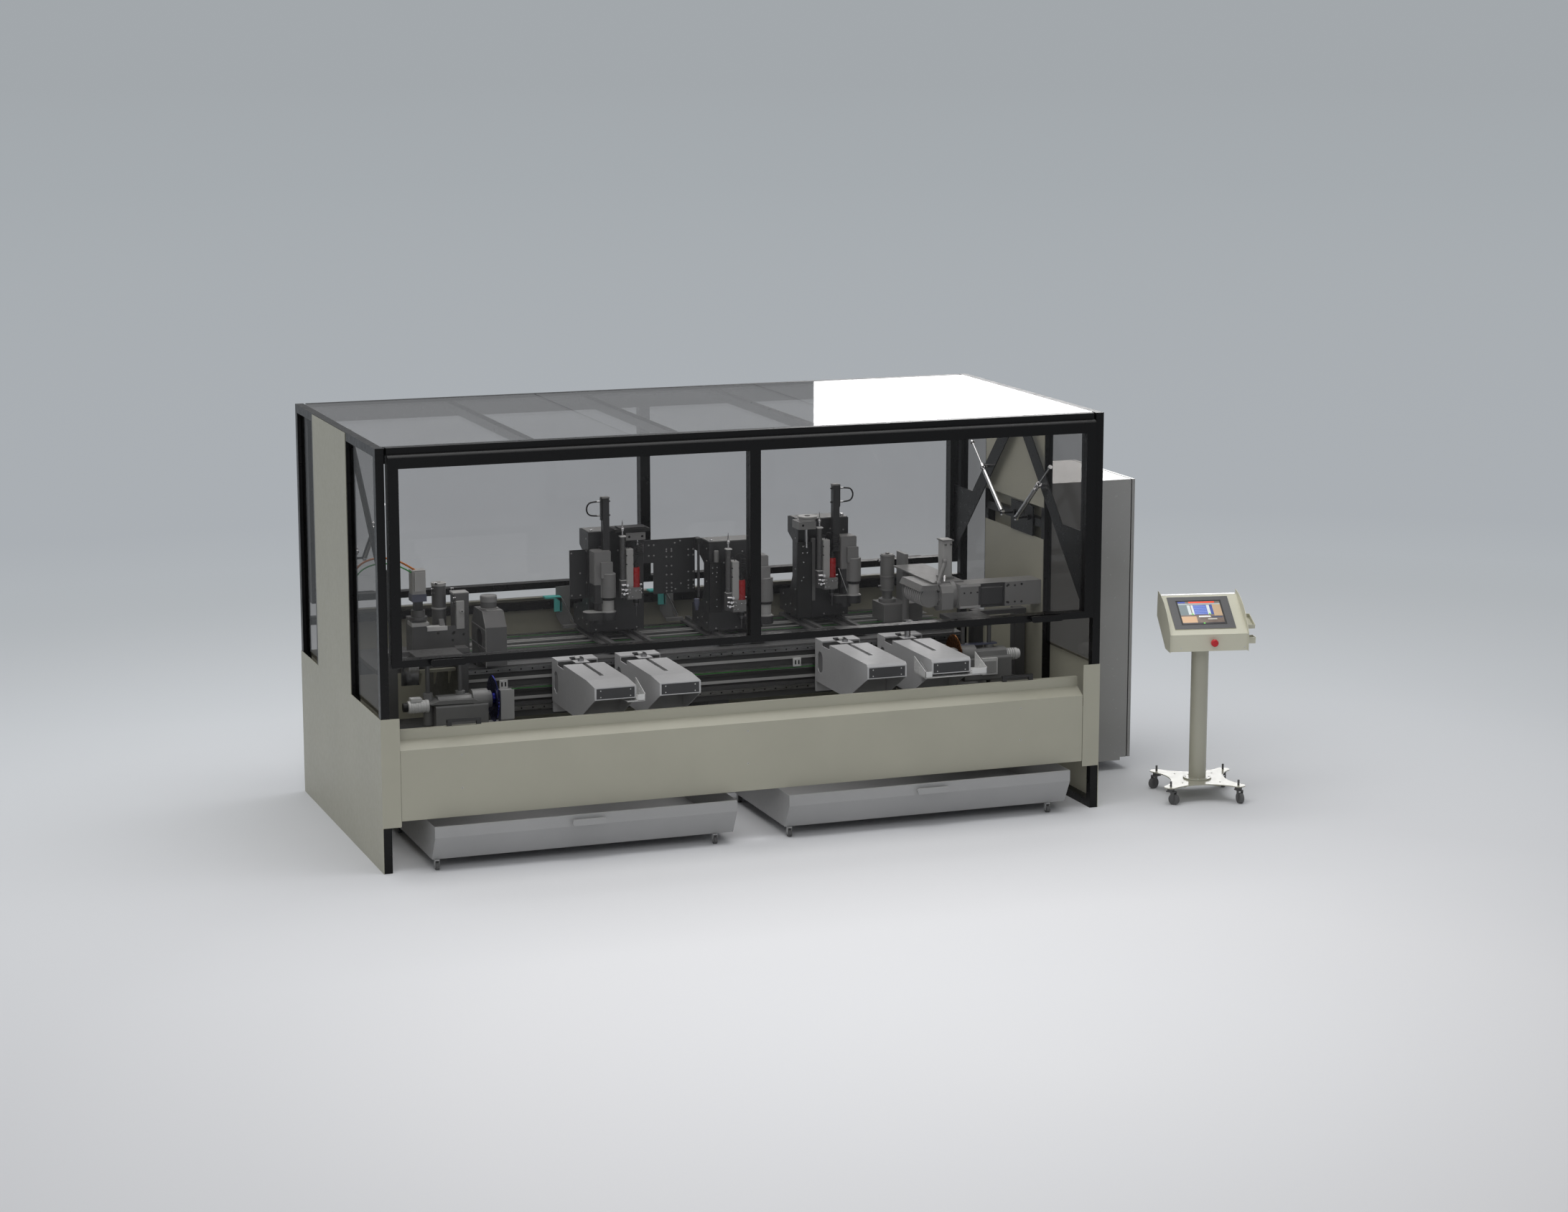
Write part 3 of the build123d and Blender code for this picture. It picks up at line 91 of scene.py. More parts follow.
def newMaterial(name):
    material = bpy.data.materials.new(name)
    material.use_nodes = True
    tree = material.node_tree
    tree.nodes.clear()
    output = addNode(tree, "ShaderNodeOutputMaterial")
    shader = addNode(tree, "ShaderNodeBsdfPrincipled")
    tree.links.new(shader.outputs[0], output.inputs[0])
    return material, tree, shader, output


def objectCoordinates(tree, scale=(1, 1, 1)):
    source = addNode(tree, "ShaderNodeTexCoord")
    return addNode(tree, "ShaderNodeMapping", {"Scale": scale, "Vector": source.outputs["Object"]}).outputs["Vector"]


def noise(tree, vector, scale, detail=4.0, roughness=0.5):
    given = {"Scale": scale, "Detail": detail, "Roughness": roughness, "Vector": vector}
    return addNode(tree, "ShaderNodeTexNoise", given).outputs["Fac"]


def rampColour(tree, value, stops):
    node = addNode(tree, "ShaderNodeValToRGB", {"Fac": value})
    while len(node.color_ramp.elements) < len(stops):
        node.color_ramp.elements.new(0.5)
    for element, (position, colour) in zip(node.color_ramp.elements, stops):
        element.position = position
        element.color = (*colour, 1)
    return node.outputs["Color"]


def mapRange(tree, value, low, high, toLow, toHigh):
    given = {"From Min": low, "From Max": high, "To Min": toLow, "To Max": toHigh, "Value": value}
    return addNode(tree, "ShaderNodeMapRange", given).outputs["Result"]


def maths(tree, operation, first, second):
    return addNode(tree, "ShaderNodeMath", {0: first, 1: second}, operation=operation).outputs[0]


def product(tree, values):
    result = values[0]
    for value in values[1:]:
        result = maths(tree, "MULTIPLY", result, value)
    return result


def window(tree, across, up, x0, x1, y0, y1):
    # 1 where both values lie within their limits
    return product(tree, [
        maths(tree, "GREATER_THAN", across, x0), maths(tree, "LESS_THAN", across, x1),
        maths(tree, "GREATER_THAN", up, y0), maths(tree, "LESS_THAN", up, y1),
    ])


def vectorMaths(tree, operation, first, second=None):
    given = {0: first} if second is None else {0: first, 1: second}
    node = addNode(tree, "ShaderNodeVectorMath", given, operation=operation)
    return node.outputs["Value" if operation in ("DISTANCE", "LENGTH") else "Vector"]


def mixColour(tree, factor, first, second):
    second = (*second, 1) if isinstance(second, tuple) else second
    return addNode(tree, "ShaderNodeMix", {0: factor, 6: first, 7: second}, data_type="RGBA").outputs[2]


def mixShader(tree, factor, first, second):
    return addNode(tree, "ShaderNodeMixShader", {0: factor, 1: first.outputs[0], 2: second.outputs[0]}).outputs[0]


def bump(tree, shader, height, strength, distance):
    node = addNode(tree, "ShaderNodeBump", {"Strength": strength, "Distance": distance, "Height": height})
    tree.links.new(node.outputs["Normal"], shader.inputs["Normal"])


def tint(colour, factor):
    return tuple(min(1.0, c * factor) for c in colour)


def insideBox(tree, vector, low, high):
    # 1 inside a box given in machine millimetres, 0 outside
    a = place(*low)
    b = place(*high)
    away = vectorMaths(tree, "ABSOLUTE", vectorMaths(tree, "SUBTRACT", vector, (a + b) / 2))
    share = vectorMaths(tree, "DIVIDE", away, (b - a) / 2)
    parts = addNode(tree, "ShaderNodeSeparateXYZ", {0: share})
    furthest = maths(tree, "MAXIMUM", parts.outputs[0], parts.outputs[1])
    furthest = maths(tree, "MAXIMUM", furthest, parts.outputs[2])
    return maths(tree, "LESS_THAN", furthest, 1.0)


# paints: colour, spread of its clouds, roughness from and to, grain, bump and shine
paintSet = {
    "panelBeige": ((0.40, 0.39, 0.315), 0.04, (0.36, 0.46), 900, 0.10, 0.5),
    "frameBlack": ((0.0045, 0.0045, 0.0048), 0.15, (0.26, 0.36), 1200, 0.06, 0.22),
    "machineGrey": ((0.10, 0.10, 0.10), 0.10, (0.36, 0.5), 700, 0.15, 0.5),
    "headGrey": ((0.034, 0.034, 0.036), 0.10, (0.34, 0.46), 700, 0.12, 0.5),
    "motorGrey": ((0.23, 0.23, 0.228), 0.08, (0.38, 0.5), 800, 0.12, 0.5),
    "unitGrey": ((0.21, 0.21, 0.207), 0.08, (0.34, 0.46), 800, 0.12, 0.5),
    "lightGrey": ((0.42, 0.42, 0.413), 0.06, (0.32, 0.44), 800, 0.10, 0.5),
    "binGrey": ((0.36, 0.36, 0.36), 0.05, (0.36, 0.46), 900, 0.1, 0.5),
    "cabinetGrey": ((0.30, 0.298, 0.29), 0.04, (0.20, 0.28), 1000, 0.05, 0.5),
    "clampGrey": ((0.50, 0.50, 0.505), 0.06, (0.34, 0.46), 900, 0.1, 0.5),
    "castorGrey": ((0.10, 0.10, 0.10), 0.12, (0.5, 0.65), 600, 0.2, 0.5),
    "plasticBlack": ((0.012, 0.012, 0.012), 0.15, (0.40, 0.55), 500, 0.2, 0.5),
    "buttonRed": ((0.55, 0.012, 0.02), 0.06, (0.18, 0.28), 500, 0.04, 0.5),
    "spindleRed": ((0.34, 0.006, 0.008), 0.06, (0.24, 0.34), 700, 0.05, 0.5),
    "bracketCyan": ((0.10, 0.52, 0.48), 0.05, (0.34, 0.44), 700, 0.08, 0.5),
    "chainGreen": ((0.03, 0.24, 0.03), 0.10, (0.36, 0.5), 500, 0.1, 0.5),
    "gearBlue": ((0.10, 0.11, 0.16), 0.08, (0.30, 0.42), 700, 0.1, 0.5),
    "cableOrange": ((0.60, 0.17, 0.015), 0.08, (0.40, 0.5), 400, 0.1, 0.5),
    "cableGreen": ((0.03, 0.30, 0.06), 0.08, (0.40, 0.5), 400, 0.1, 0.5),
    "hoseBlack": ((0.014, 0.014, 0.015), 0.2, (0.32, 0.44), 300, 0.15, 0.5),
    "screwZinc": ((0.55, 0.55, 0.54), 0.10, (0.25, 0.4), 1200, 0.1, 0.5),
    "consoleBeige": ((0.61, 0.597, 0.482), 0.04, (0.34, 0.44), 900, 0.06, 0.5),
    "bezelGrey": ((0.085, 0.085, 0.088), 0.05, (0.30, 0.4), 900, 0.05, 0.5),
    "standBeige": ((0.42, 0.41, 0.335), 0.04, (0.14, 0.22), 900, 0.03, 0.5),
    "whiteGloss": ((0.72, 0.72, 0.71), 0.03, (0.20, 0.3), 900, 0.04, 0.5),
}


def addPaint(name, values, zones=()):
    # sprayed paint: faint cloudy colour, uneven gloss, orange peel; zones are boxes of another paint
    colour, spread, rough, grain, peel, shine = values
    material, tree, shader, _ = newMaterial(name)
    vector = objectCoordinates(tree)
    clouds = noise(tree, vector, 2.3, 5)
    fine = noise(tree, vector, 37, 3)

    def cloudy(colour, spread):
        return rampColour(tree, clouds, [(0.3, tint(colour, 1 - spread)), (0.7, tint(colour, 1 + spread))])

    colour = cloudy(colour, spread)
    for other, low, high in zones:
        there = insideBox(tree, vector, low, high)
        colour = mixColour(tree, there, colour, cloudy(*paintSet[other][:2]))
    tree.links.new(colour, shader.inputs["Base Color"])
    shader.inputs["Specular IOR Level"].default_value = shine
    tree.links.new(mapRange(tree, fine, 0.3, 0.7, rough[0], rough[1]), shader.inputs["Roughness"])
    bump(tree, shader, noise(tree, vector, grain, 2), peel, 0.0004)
    return material


paints = {name: addPaint(name, values) for name, values in paintSet.items()}

# metals: colour, roughness from and to, stretch of the machining streaks
metalSet = {
    "groundSteel": ((0.42, 0.42, 0.43), (0.22, 0.40), (3, 140, 140)),
    "darkSteel": ((0.16, 0.16, 0.165), (0.26, 0.40), (3, 140, 140)),
    "chromeRod": ((0.62, 0.62, 0.63), (0.08, 0.18), (60, 60, 8)),
    "bladeBlue": ((0.035, 0.04, 0.22), (0.16, 0.30), (20, 20, 20)),
    "bladeCopper": ((0.40, 0.17, 0.06), (0.18, 0.32), (20, 20, 20)),
}


def addMetal(name, values):
    # machined metal: streaks along the cut
    colour, rough, stretch = values
    material, tree, shader, _ = newMaterial(name)
    shader.inputs["Metallic"].default_value = 1.0
    streaks = noise(tree, objectCoordinates(tree, stretch), 3.0, 6)
    stops = [(0.3, tint(colour, 0.9)), (0.7, tint(colour, 1.08))]
    tree.links.new(rampColour(tree, streaks, stops), shader.inputs["Base Color"])
    tree.links.new(mapRange(tree, streaks, 0.3, 0.7, rough[0], rough[1]), shader.inputs["Roughness"])
    bump(tree, shader, streaks, 0.05, 0.0003)
    return material


metals = {name: addMetal(name, values) for name, values in metalSet.items()}

glassSet = {
    "film": (0.90, 0.895, 0.892), "gloss": (0.95, 0.95, 0.955),
    "rough": (0.012, 0.018), "base": 0.012, "edge": 0.96,
}
sideGlassSet = {
    "film": (0.66, 0.652, 0.645), "gloss": (0.9, 0.9, 0.9),
    "rough": (0.012, 0.018), "base": 0.010, "edge": 0.30,
}


def addGlass(name, values):
    # smoked sheet: a tinted film that lets light through, under a clear gloss
    material, tree, shader, output = newMaterial(name)
    vector = objectCoordinates(tree)
    haze = noise(tree, vector, 1.7, 3)
    colour = values["film"]
    stops = [(0.35, tint(colour, 0.994)), (0.65, tint(colour, 1.006))]
    film = addNode(tree, "ShaderNodeBsdfTransparent", {"Color": rampColour(tree, haze, stops)})
    colour = values["gloss"]
    stops = [(0.35, tint(colour, 0.98)), (0.65, tint(colour, 1.0))]
    gloss = addNode(tree, "ShaderNodeBsdfAnisotropic", {
        "Color": rampColour(tree, haze, stops), "Roughness": mapRange(tree, haze, 0.3, 0.7, *values["rough"]),
    })
    # Schlick's curve: nearly clear head on, a mirror at a glancing angle
    facing = addNode(tree, "ShaderNodeLayerWeight", {"Blend": 0.5})
    glance = maths(tree, "POWER", facing.outputs["Facing"], 5.0)
    share = maths(tree, "ADD", maths(tree, "MULTIPLY", glance, values["edge"]), values["base"])
    tree.links.new(mixShader(tree, share, film, gloss), output.inputs[0])
    tree.nodes.remove(shader)
    return material


smokedGlass = addGlass("smokedGlass", glassSet)
sideGlass = addGlass("sideGlass", sideGlassSet)
print("finishes made")

# heads: column's sides and front, spindle's x, tip's height, drive's x and foot, post's x
headKeys = ("left", "right", "front", "spindle", "tip", "drive", "post", "base")
headSet = {
    "left": (1534, 1857, 1400, 1777, 994, 1618, 1616, 983),
    "middle": (2179, 2487, 1200, 2332, 921, 2480, None, 940),
    "right": (2786, 3094, 1400, 2953, 975, 3090, 2991, 983),
}
headSet = {side: dict(zip(headKeys, row)) for side, row in headSet.items()}
columnSet = {"low": 898, "left": 566, "middle": 504, "right": 566}


# finish of each carried-over node
def columnZones(head):
    x = head["drive"]
    y = head["front"] - 95
    base = head["base"]
    zones = [
        ("lightGrey", (x - 160, y - 60, base + 44), (x + 60, y + 76, base + 48)),
        ("lightGrey", (x - 34, y - 34, base + 46), (x + 34, y + 34, base + 112)),
        ("plasticBlack", (x - 37, y - 37, base + 112), (x + 37, y + 37, base + 128)),
        ("motorGrey", (x - 46, y - 46, base + 128), (x + 46, y + 46, base + 264)),
        ("motorGrey", (x - 84, y - 26, base + 200), (x + 22, y + 94, base + 392)),
    ]
    return zones


def slideZones(head):
    x = head["spindle"]
    y = head["front"] - 110
    red = head["tip"] + 169
    return [
        ("lightGrey", (x - 58, y - 14, red - 1), (x - 16, y + 70, red + 216)),
        ("unitGrey", (x - 58, y - 30, red - 72), (x + 26, y + 70, red - 1)),
        ("spindleRed", (x - 22, y - 22, red - 1.5), (x + 22, y + 22, red + 110)),
        ("plasticBlack", (x - 16, y - 16, red + 109), (x + 16, y + 16, red + 140)),
    ]


def finishNodes():
    looks = {
        "frameBlack": ["enclosure_frame", "front_hood_frame", "rear_hood_frame"],
        "panelBeige": ["side_panels", "rear_panel", "console_stand"],
        "machineGrey": ["bed", "saw_stands", "left_guard"],
        "unitGrey": ["left_saw", "right_saw"],
        "binGrey": ["left_bin", "right_bin"],
        "cabinetGrey": ["cabinet_body", "cabinet_door"],
        "buttonRed": ["e_stop"],
    }
    given = {}
    for look, names in looks.items():
        for name in names:
            given[name] = paints[look]
    leftZones = [
        ("lightGrey", (401, 911, 1270.5), (479, 989, 1401)),
        ("gearBlue", (390, 900, 1230), (490, 1000, 1270.5)),
        ("plasticBlack", (415, 925, 1180), (465, 975, 1230)),
        ("lightGrey", (550, 1055, 1278), (640, 1145, 1291)),
    ]
    given["left_end_unit"] = addPaint("leftUnitPaint", paintSet["machineGrey"], leftZones)
    rightZones = [
        ("lightGrey", (3445, 820, 1168), (3510, 915, 1401)),
        ("headGrey", (3600, 660, 1030), (3760, 680, 1167)),
    ]
    given["right_end_unit"] = addPaint("rightUnitPaint", paintSet["unitGrey"], rightZones)
    given["front_apron"] = addPaint("apronPaint", paintSet["panelBeige"], [
        ("plasticBlack", (300, 66, 732.6), (3730, 100, 770)),
    ])
    given["console_head"] = paints["consoleBeige"]
    for side, head in headSet.items():
        given[side + "_head_column"] = addPaint(side + "ColumnPaint", paintSet["headGrey"], columnZones(head))
        given[side + "_head_slide"] = addPaint(side + "SlidePaint", paintSet["machineGrey"], slideZones(head))
        given[side + "_head_tool"] = metals["darkSteel"]
        given[side + "_head_carriage"] = paints["machineGrey"]
    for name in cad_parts:
        if name in given:
            continue
        if "windows" in name:
            given[name] = sideGlass
        elif "glass" in name:
            given[name] = smokedGlass
        elif name.startswith("clamp") and not name.endswith("jaw"):
            given[name] = paints["clampGrey"]
        elif "wheels" in name or "castor" in name:
            given[name] = paints["castorGrey"]
        elif name == "left_blade":
            given[name] = metals["bladeBlue"]
        elif name == "right_blade":
            given[name] = metals["bladeCopper"]
        elif "stay" in name:
            given[name] = metals["chromeRod"]
        else:
            given[name] = metals["groundSteel"]
    for name, material in given.items():
        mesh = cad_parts[name].data
        mesh.materials.clear()
        mesh.materials.append(material)


finishNodes()
print("nodes finished")

# shapes are gathered in one bmesh for each piece, in machine millimetres
def newShape():
    return bmesh.new()


def addFaces(shape, rows, faces, look):
    made = [shape.verts.new(place(*row)) for row in rows]
    for face in faces:
        shape.faces.new([made[i] for i in face]).material_index = look


def addBox(shape, low, high, look=0):
    (x0, y0, z0), (x1, y1, z1) = low, high
    rows = [(x, y, z) for z in (z0, z1) for y in (y0, y1) for x in (x0, x1)]
    faces = [(0, 2, 3, 1), (4, 5, 7, 6), (0, 1, 5, 4), (2, 6, 7, 3), (0, 4, 6, 2), (1, 3, 7, 5)]
    addFaces(shape, rows, faces, look)


def addSlab(shape, axis, outline, low, high, look=0):
    # an outline of two coordinates run along the third
    count = len(outline)
    rows = []
    for depth in (low, high):
        for a, b in outline:
            rows.append({"x": (depth, a, b), "y": (a, depth, b), "z": (a, b, depth)}[axis])
    faces = [tuple(range(count)), tuple(range(2 * count - 1, count - 1, -1))]
    faces += [(i, (i + 1) % count, count + (i + 1) % count, count + i) for i in range(count)]
    addFaces(shape, rows, faces, look)


def ringFrame(direction):
    along = Vector(direction).normalized()
    side = along.orthogonal().normalized()
    return along, side, along.cross(side)


def addTurned(shape, start, direction, steps, look=0, sides=28):
    # steps are (distance along, radius), turned about a line through start
    along, side, up = ringFrame(direction)
    rows = []
    for distance, radius in steps:
        for k in range(sides):
            turn = 2 * math.pi * k / sides
            point = Vector(start) + along * distance + (side * math.cos(turn) + up * math.sin(turn)) * radius
            rows.append(tuple(point))
    faces = [tuple(range(sides)), tuple(range(len(rows) - 1, len(rows) - sides - 1, -1))]
    for r in range(len(steps) - 1):
        for k in range(sides):
            a = r * sides + k
            b = r * sides + (k + 1) % sides
            faces.append((a, b, b + sides, a + sides))
    addFaces(shape, rows, faces, look)


def addRod(shape, start, end, radius, look=0, sides=20, lip=0.8):
    gap = Vector(end) - Vector(start)
    length = gap.length
    steps = [(0, radius - lip), (lip, radius), (length - lip, radius), (length, radius - lip)]
    addTurned(shape, start, gap, steps, look, sides)


def finishPiece(name, shape, looks, body, soft=0.6):
    bmesh.ops.recalc_face_normals(shape, faces=shape.faces)
    mesh = bpy.data.meshes.new(name)
    shape.to_mesh(mesh)
    shape.free()
    for look in looks:
        mesh.materials.append(paints.get(look) or metals.get(look) or look)
    mesh.polygons.foreach_set("use_smooth", [True] * len(mesh.polygons))
    mesh.set_sharp_from_angle(angle=math.radians(32))
    piece = bpy.data.objects.new(name, mesh)
    scene.collection.objects.link(piece)
    if soft:
        edge = piece.modifiers.new("edge", "BEVEL")
        edge.width = soft / 1000
        edge.segments = 2
        edge.limit_method = "ANGLE"
        edge.angle_limit = math.radians(40)
        edge.harden_normals = True
    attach(piece, body)
    return piece


# cords: servo cables, coiled air hoses, short hose loops
cordSet = {
    "servoCableOrange": {
        "look": "cableOrange", "thick": 11, "stiff": "medium", "lay": "loose", "body": "machine",
        "points": [
            (436, 950, 1391), (405, 950, 1413), (330, 950, 1458), (240, 950, 1478),
            (150, 950, 1462), (95, 952, 1410), (80, 953, 1366), (47, 953, 1358),
        ],
    },
    "servoCableGreen": {
        "look": "cableGreen", "thick": 8, "stiff": "medium", "lay": "loose", "body": "machine",
        "points": [
            (411, 930, 1383), (380, 930, 1405), (310, 931, 1440), (225, 933, 1450),
            (145, 935, 1428), (98, 936, 1380), (80, 937, 1334), (47, 937, 1326),
        ],
    },
}


def coilPoints(head):
    x = head["spindle"] + 21
    y = head["front"] - 110
    red = head["tip"] + 169
    points = [(x - 21, y, red + 132), (x - 21, y, red + 146), (x - 8, y + 6, red + 166)]
    turns = 6
    for k in range(turns * 12 + 1):
        turn = 2 * math.pi * k / 12
        reach = 22 + 1.4 * math.sin(0.9 * k)
        points.append((x + reach * math.cos(turn), y + reach * math.sin(turn), red + 178 + 9.0 * k / 12))
    points += [
        (x - 8, y + 10, red + 250), (x - 26, y + 16, red + 258), (x - 46, y + 20, red + 250),
        (x - 54, y + 22, red + 232), (x - 54, y + 22, red + 214),
    ]
    return points


def loopPoints(head, side):
    x = head["post"] + side * 19
    y = head["front"] - 59
    rows = [
        (0, 1646), (14, 1646), (46, 1646), (78, 1640), (92, 1606), (78, 1573), (46, 1567), (14, 1567),
        (0, 1567),
    ]
    return [(x + side * reach, y, z) for reach, z in rows]


def addCord(name, values):
    data = bpy.data.curves.new(name, "CURVE")
    data.dimensions = "3D"
    data.resolution_u = 6
    data.bevel_depth = values["thick"] / 2000
    data.bevel_resolution = 3
    data.use_fill_caps = True
    line = data.splines.new("NURBS")
    points = [place(*point) for point in values["points"]]
    line.points.add(len(points) - 1)
    for knot, point in zip(line.points, points):
        knot.co = (*point, 1)
    line.order_u = 3
    line.use_endpoint_u = True
    data.materials.append(paints[values["look"]])
    piece = bpy.data.objects.new(name, data)
    scene.collection.objects.link(piece)
    thick = data.bevel_depth
    data.bevel_depth = 0
    bpy.context.view_layer.update()
    bare = bpy.data.meshes.new_from_object(piece.evaluated_get(bpy.context.evaluated_depsgraph_get()))
    bpy.data.meshes.remove(bare)
    data.bevel_depth = thick
    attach(piece, values["body"])


for side, head in headSet.items():
    cordSet[side + "HeadCoil"] = {
        "look": "hoseBlack", "thick": 5, "stiff": "medium", "lay": "coiled",
        "body": side + "_head_slide", "points": coilPoints(head),
    }
    if head["post"]:
        cordSet[side + "PostLoop"] = {
            "look": "hoseBlack", "thick": 9, "stiff": "stiff", "lay": "loose", "body": side + "_head_column",
            "points": loopPoints(head, -1 if side == "left" else 1),
        }
for name, values in cordSet.items():
    addCord(name, values)
print("cords laid")


# screws: one node tree scatters a socket head on every point, turned along the point's own direction
def screwTree():
    tree = bpy.data.node_groups.new("screwField", "GeometryNodeTree")
    tree.is_modifier = True
    face = tree.interface
    face.new_socket("Geometry", in_out="INPUT", socket_type="NodeSocketGeometry")
    for label, value in (("headRadius", 0.005), ("headHeight", 0.002), ("socketShare", 0.55)):
        socket = face.new_socket(label, in_out="INPUT", socket_type="NodeSocketFloat")
        socket.default_value = value
    for label in ("headLook", "socketLook"):
        face.new_socket(label, in_out="INPUT", socket_type="NodeSocketMaterial")
    face.new_socket("Geometry", in_out="OUTPUT", socket_type="NodeSocketGeometry")
    given = addNode(tree, "NodeGroupInput")
    result = addNode(tree, "NodeGroupOutput")

    def cylinder(sides, radius, depth, lift):
        made = addNode(tree, "GeometryNodeMeshCylinder", {"Vertices": sides, "Radius": radius, "Depth": depth})
        shift = addNode(tree, "ShaderNodeCombineXYZ", {"Z": lift})
        moved = {"Geometry": made.outputs["Mesh"], "Translation": shift.outputs[0]}
        return addNode(tree, "GeometryNodeTransform", moved).outputs[0]

    def attribute(name, kind):
        return addNode(tree, "GeometryNodeInputNamedAttribute", {"Name": name}, data_type=kind).outputs[0]

    def finished(geometry, look, **where):
        made = addNode(tree, "GeometryNodeSetMaterial", {
            "Geometry": geometry, "Material": given.outputs[look], **where,
        })
        return made.outputs[0]

    radius = given.outputs["headRadius"]
    height = given.outputs["headHeight"]
    head = cylinder(14, radius, height, product(tree, [height, 0.5]))
    socketPart = cylinder(
        6, product(tree, [radius, given.outputs["socketShare"]]),
        product(tree, [height, 0.12]), product(tree, [height, 1.01]),
    )
    marked = {"Name": "socket", "Value": True, "Geometry": socketPart}
    flag = addNode(tree, "GeometryNodeStoreNamedAttribute", marked, data_type="BOOLEAN", domain="FACE")
    both = addNode(tree, "GeometryNodeJoinGeometry", {0: head})
    tree.links.new(flag.outputs[0], both.inputs[0])
    turn = addNode(tree, "FunctionNodeAlignRotationToVector", {"Vector": attribute("aim", "FLOAT_VECTOR")}, axis="Z")
    scatter = addNode(tree, "GeometryNodeInstanceOnPoints", {
        "Points": given.outputs["Geometry"], "Instance": both.outputs[0], "Rotation": turn.outputs[0],
    })
    real = addNode(tree, "GeometryNodeRealizeInstances", {0: scatter.outputs[0]})
    first = finished(real.outputs[0], "headLook")
    second = finished(first, "socketLook", Selection=attribute("socket", "BOOLEAN"))
    tree.links.new(second, result.inputs[0])
    return tree


screws = screwTree()


def addScrews(name, body, rows, radius=5.0, height=2.0, look="screwZinc"):
    # rows are (x, y, z, direction letter with its sign)
    ways = {"-y": (0, -1, 0), "+y": (0, 1, 0), "-x": (-1, 0, 0), "+x": (1, 0, 0), "+z": (0, 0, 1)}
    mesh = bpy.data.meshes.new(name)
    mesh.from_pydata([place(*row[:3]) for row in rows], [], [])
    aim = mesh.attributes.new("aim", "FLOAT_VECTOR", "POINT")
    for item, row in zip(aim.data, rows):
        item.vector = ways[row[3]]
    piece = bpy.data.objects.new(name, mesh)
    scene.collection.objects.link(piece)
    field = piece.modifiers.new("screws", "NODES")
    field.node_group = screws
    values = {
        "headRadius": radius / 1000, "headHeight": height / 1000, "socketShare": 0.55,
        "headLook": paints[look], "socketLook": paints["plasticBlack"],
    }
    for item in screws.interface.items_tree:
        if item.in_out == "INPUT" and item.name in values:
            field[item.identifier] = values[item.name]
    bpy.context.view_layer.update()
    result = bpy.data.meshes.new_from_object(piece.evaluated_get(bpy.context.evaluated_depsgraph_get()))
    piece.modifiers.clear()
    piece.data = result
    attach(piece, body)


def screwRun(values, y, z, turn):
    # a row of screws along the machine
    return [(values["start"] + values["step"] * i, y, z, turn) for i in range(values["count"])]


bedScrewSet = {"start": 759, "step": 64.3, "count": 45}
bedScrews = []
for y, z, turn in ((980, 807.5, "-y"), (980, 588.5, "-y"), (1110, 849.3, "+z"), (1690, 849.3, "+z")):
    bedScrews += screwRun(bedScrewSet, y, z, turn)
addScrews("bedScrews", "machine", bedScrews, 4.5, 1.0, "plasticBlack")
apronScrews = []
for x in (420, 1980, 3560):
    apronScrews += [(x, 0, 596, "-y"), (x, 0, 420, "-y")]
unitScrews = [
    (487, 990, 1032, "-y"), (484, 990, 994, "-y"), (642, 990, 1030, "-y"), (639, 990, 993, "-y"), (
        700, 990, 1021, "-y",
    ),
]
for x in (3780, 3862):
    unitScrews += [(x, 676, 1150, "-y"), (x, 676, 1050, "-y")]
for x, z in ((3620, 1040), (3738, 1040), (3620, 1152), (3738, 1152)):
    unitScrews.append((x, 680, z, "-y"))
addScrews("unitScrews", "machine", unitScrews, 7, 1.6, "plasticBlack")
addScrews("apronScrews", "machine", apronScrews, 5, 2.2)
for i, x in enumerate((1296, 1655, 2834, 3211)):
    rows = [(x + a, 151, z, "-y") for a in (5, 87) for z in (803, 845)]
    addScrews(f"clamp{i + 1}Screws", f"clamp_{i + 1}", rows, 4, 0.8, "plasticBlack")
for side, head in headSet.items():
    y = head["front"]
    low = columnSet["low"]
    top = low + columnSet[side]
    left = head["left"]
    right = head["right"]
    rows = [(left + a, y, low + 12, "-y") for a in (40, 160, 280)]
    rows += [(left, y + 40, z, "-x") for z in (low + 40, low + 158, low + 276, top - 110, top - 40)]
    rows += [(left, y + a, low + b, "-x") for a, b in ((120, 60), (200, 40), (240, 100))]
    rows += [(right, y + 40, z, "+x") for z in (low + 40, low + 200, top - 60)]
    rows += [(right - a, y, top - b, "-y") for a, b in ((60, 30), (110, 60), (30, 70), (150, 110))]
    if side != "left":
        rows += [(left + a, y, low + b, "-y") for a, b in ((45, 330), (45, 214), (60, 385), (88, 385))]
    if side == "left":
        rows += [(x, y + 50, low + z, "-y") for x, z in ((1450, 445), (1500, 330), (1450, 205), (1500, 205))]
    if side == "middle":
        for x in (1905, 1935):
            rows += [(x, y + 250, low + z, "-y") for z in (404, 464)]
        for x in (2010, 2040):
            rows += [(x, y + 250, low + z, "-y") for z in (195, 215, 240, 290, 340, 392, 424, 436)]
        for x in (2140, 2170):
            rows += [(x, y + 250, low + z, "-y") for z in (205, 222, 250, 300, 395, 428)]
        rows += [(x, y + 250, low + z, "-y") for x, z in ((2062, 205), (2095, 235), (2060, 470), (2092, 480))]
    addScrews(side + "ColumnScrews", side + "_head_column", rows, 4.2, 2.4)
print("screws set")

# console: bezel, screen with plain fields of colour, trim and four-lobed stand
consoleSet = {
    "at": (4678, 60), "turn": -12.3, "sill": (-186, 955), "crown": (75, 1128),
    "bezel": (-185, 161, 42.6, 294.6), "rim": 30,
    "lobes": 30.5, "reach": 270, "lobeRadius": 38, "plateLow": 92, "plateHigh": 98,
}


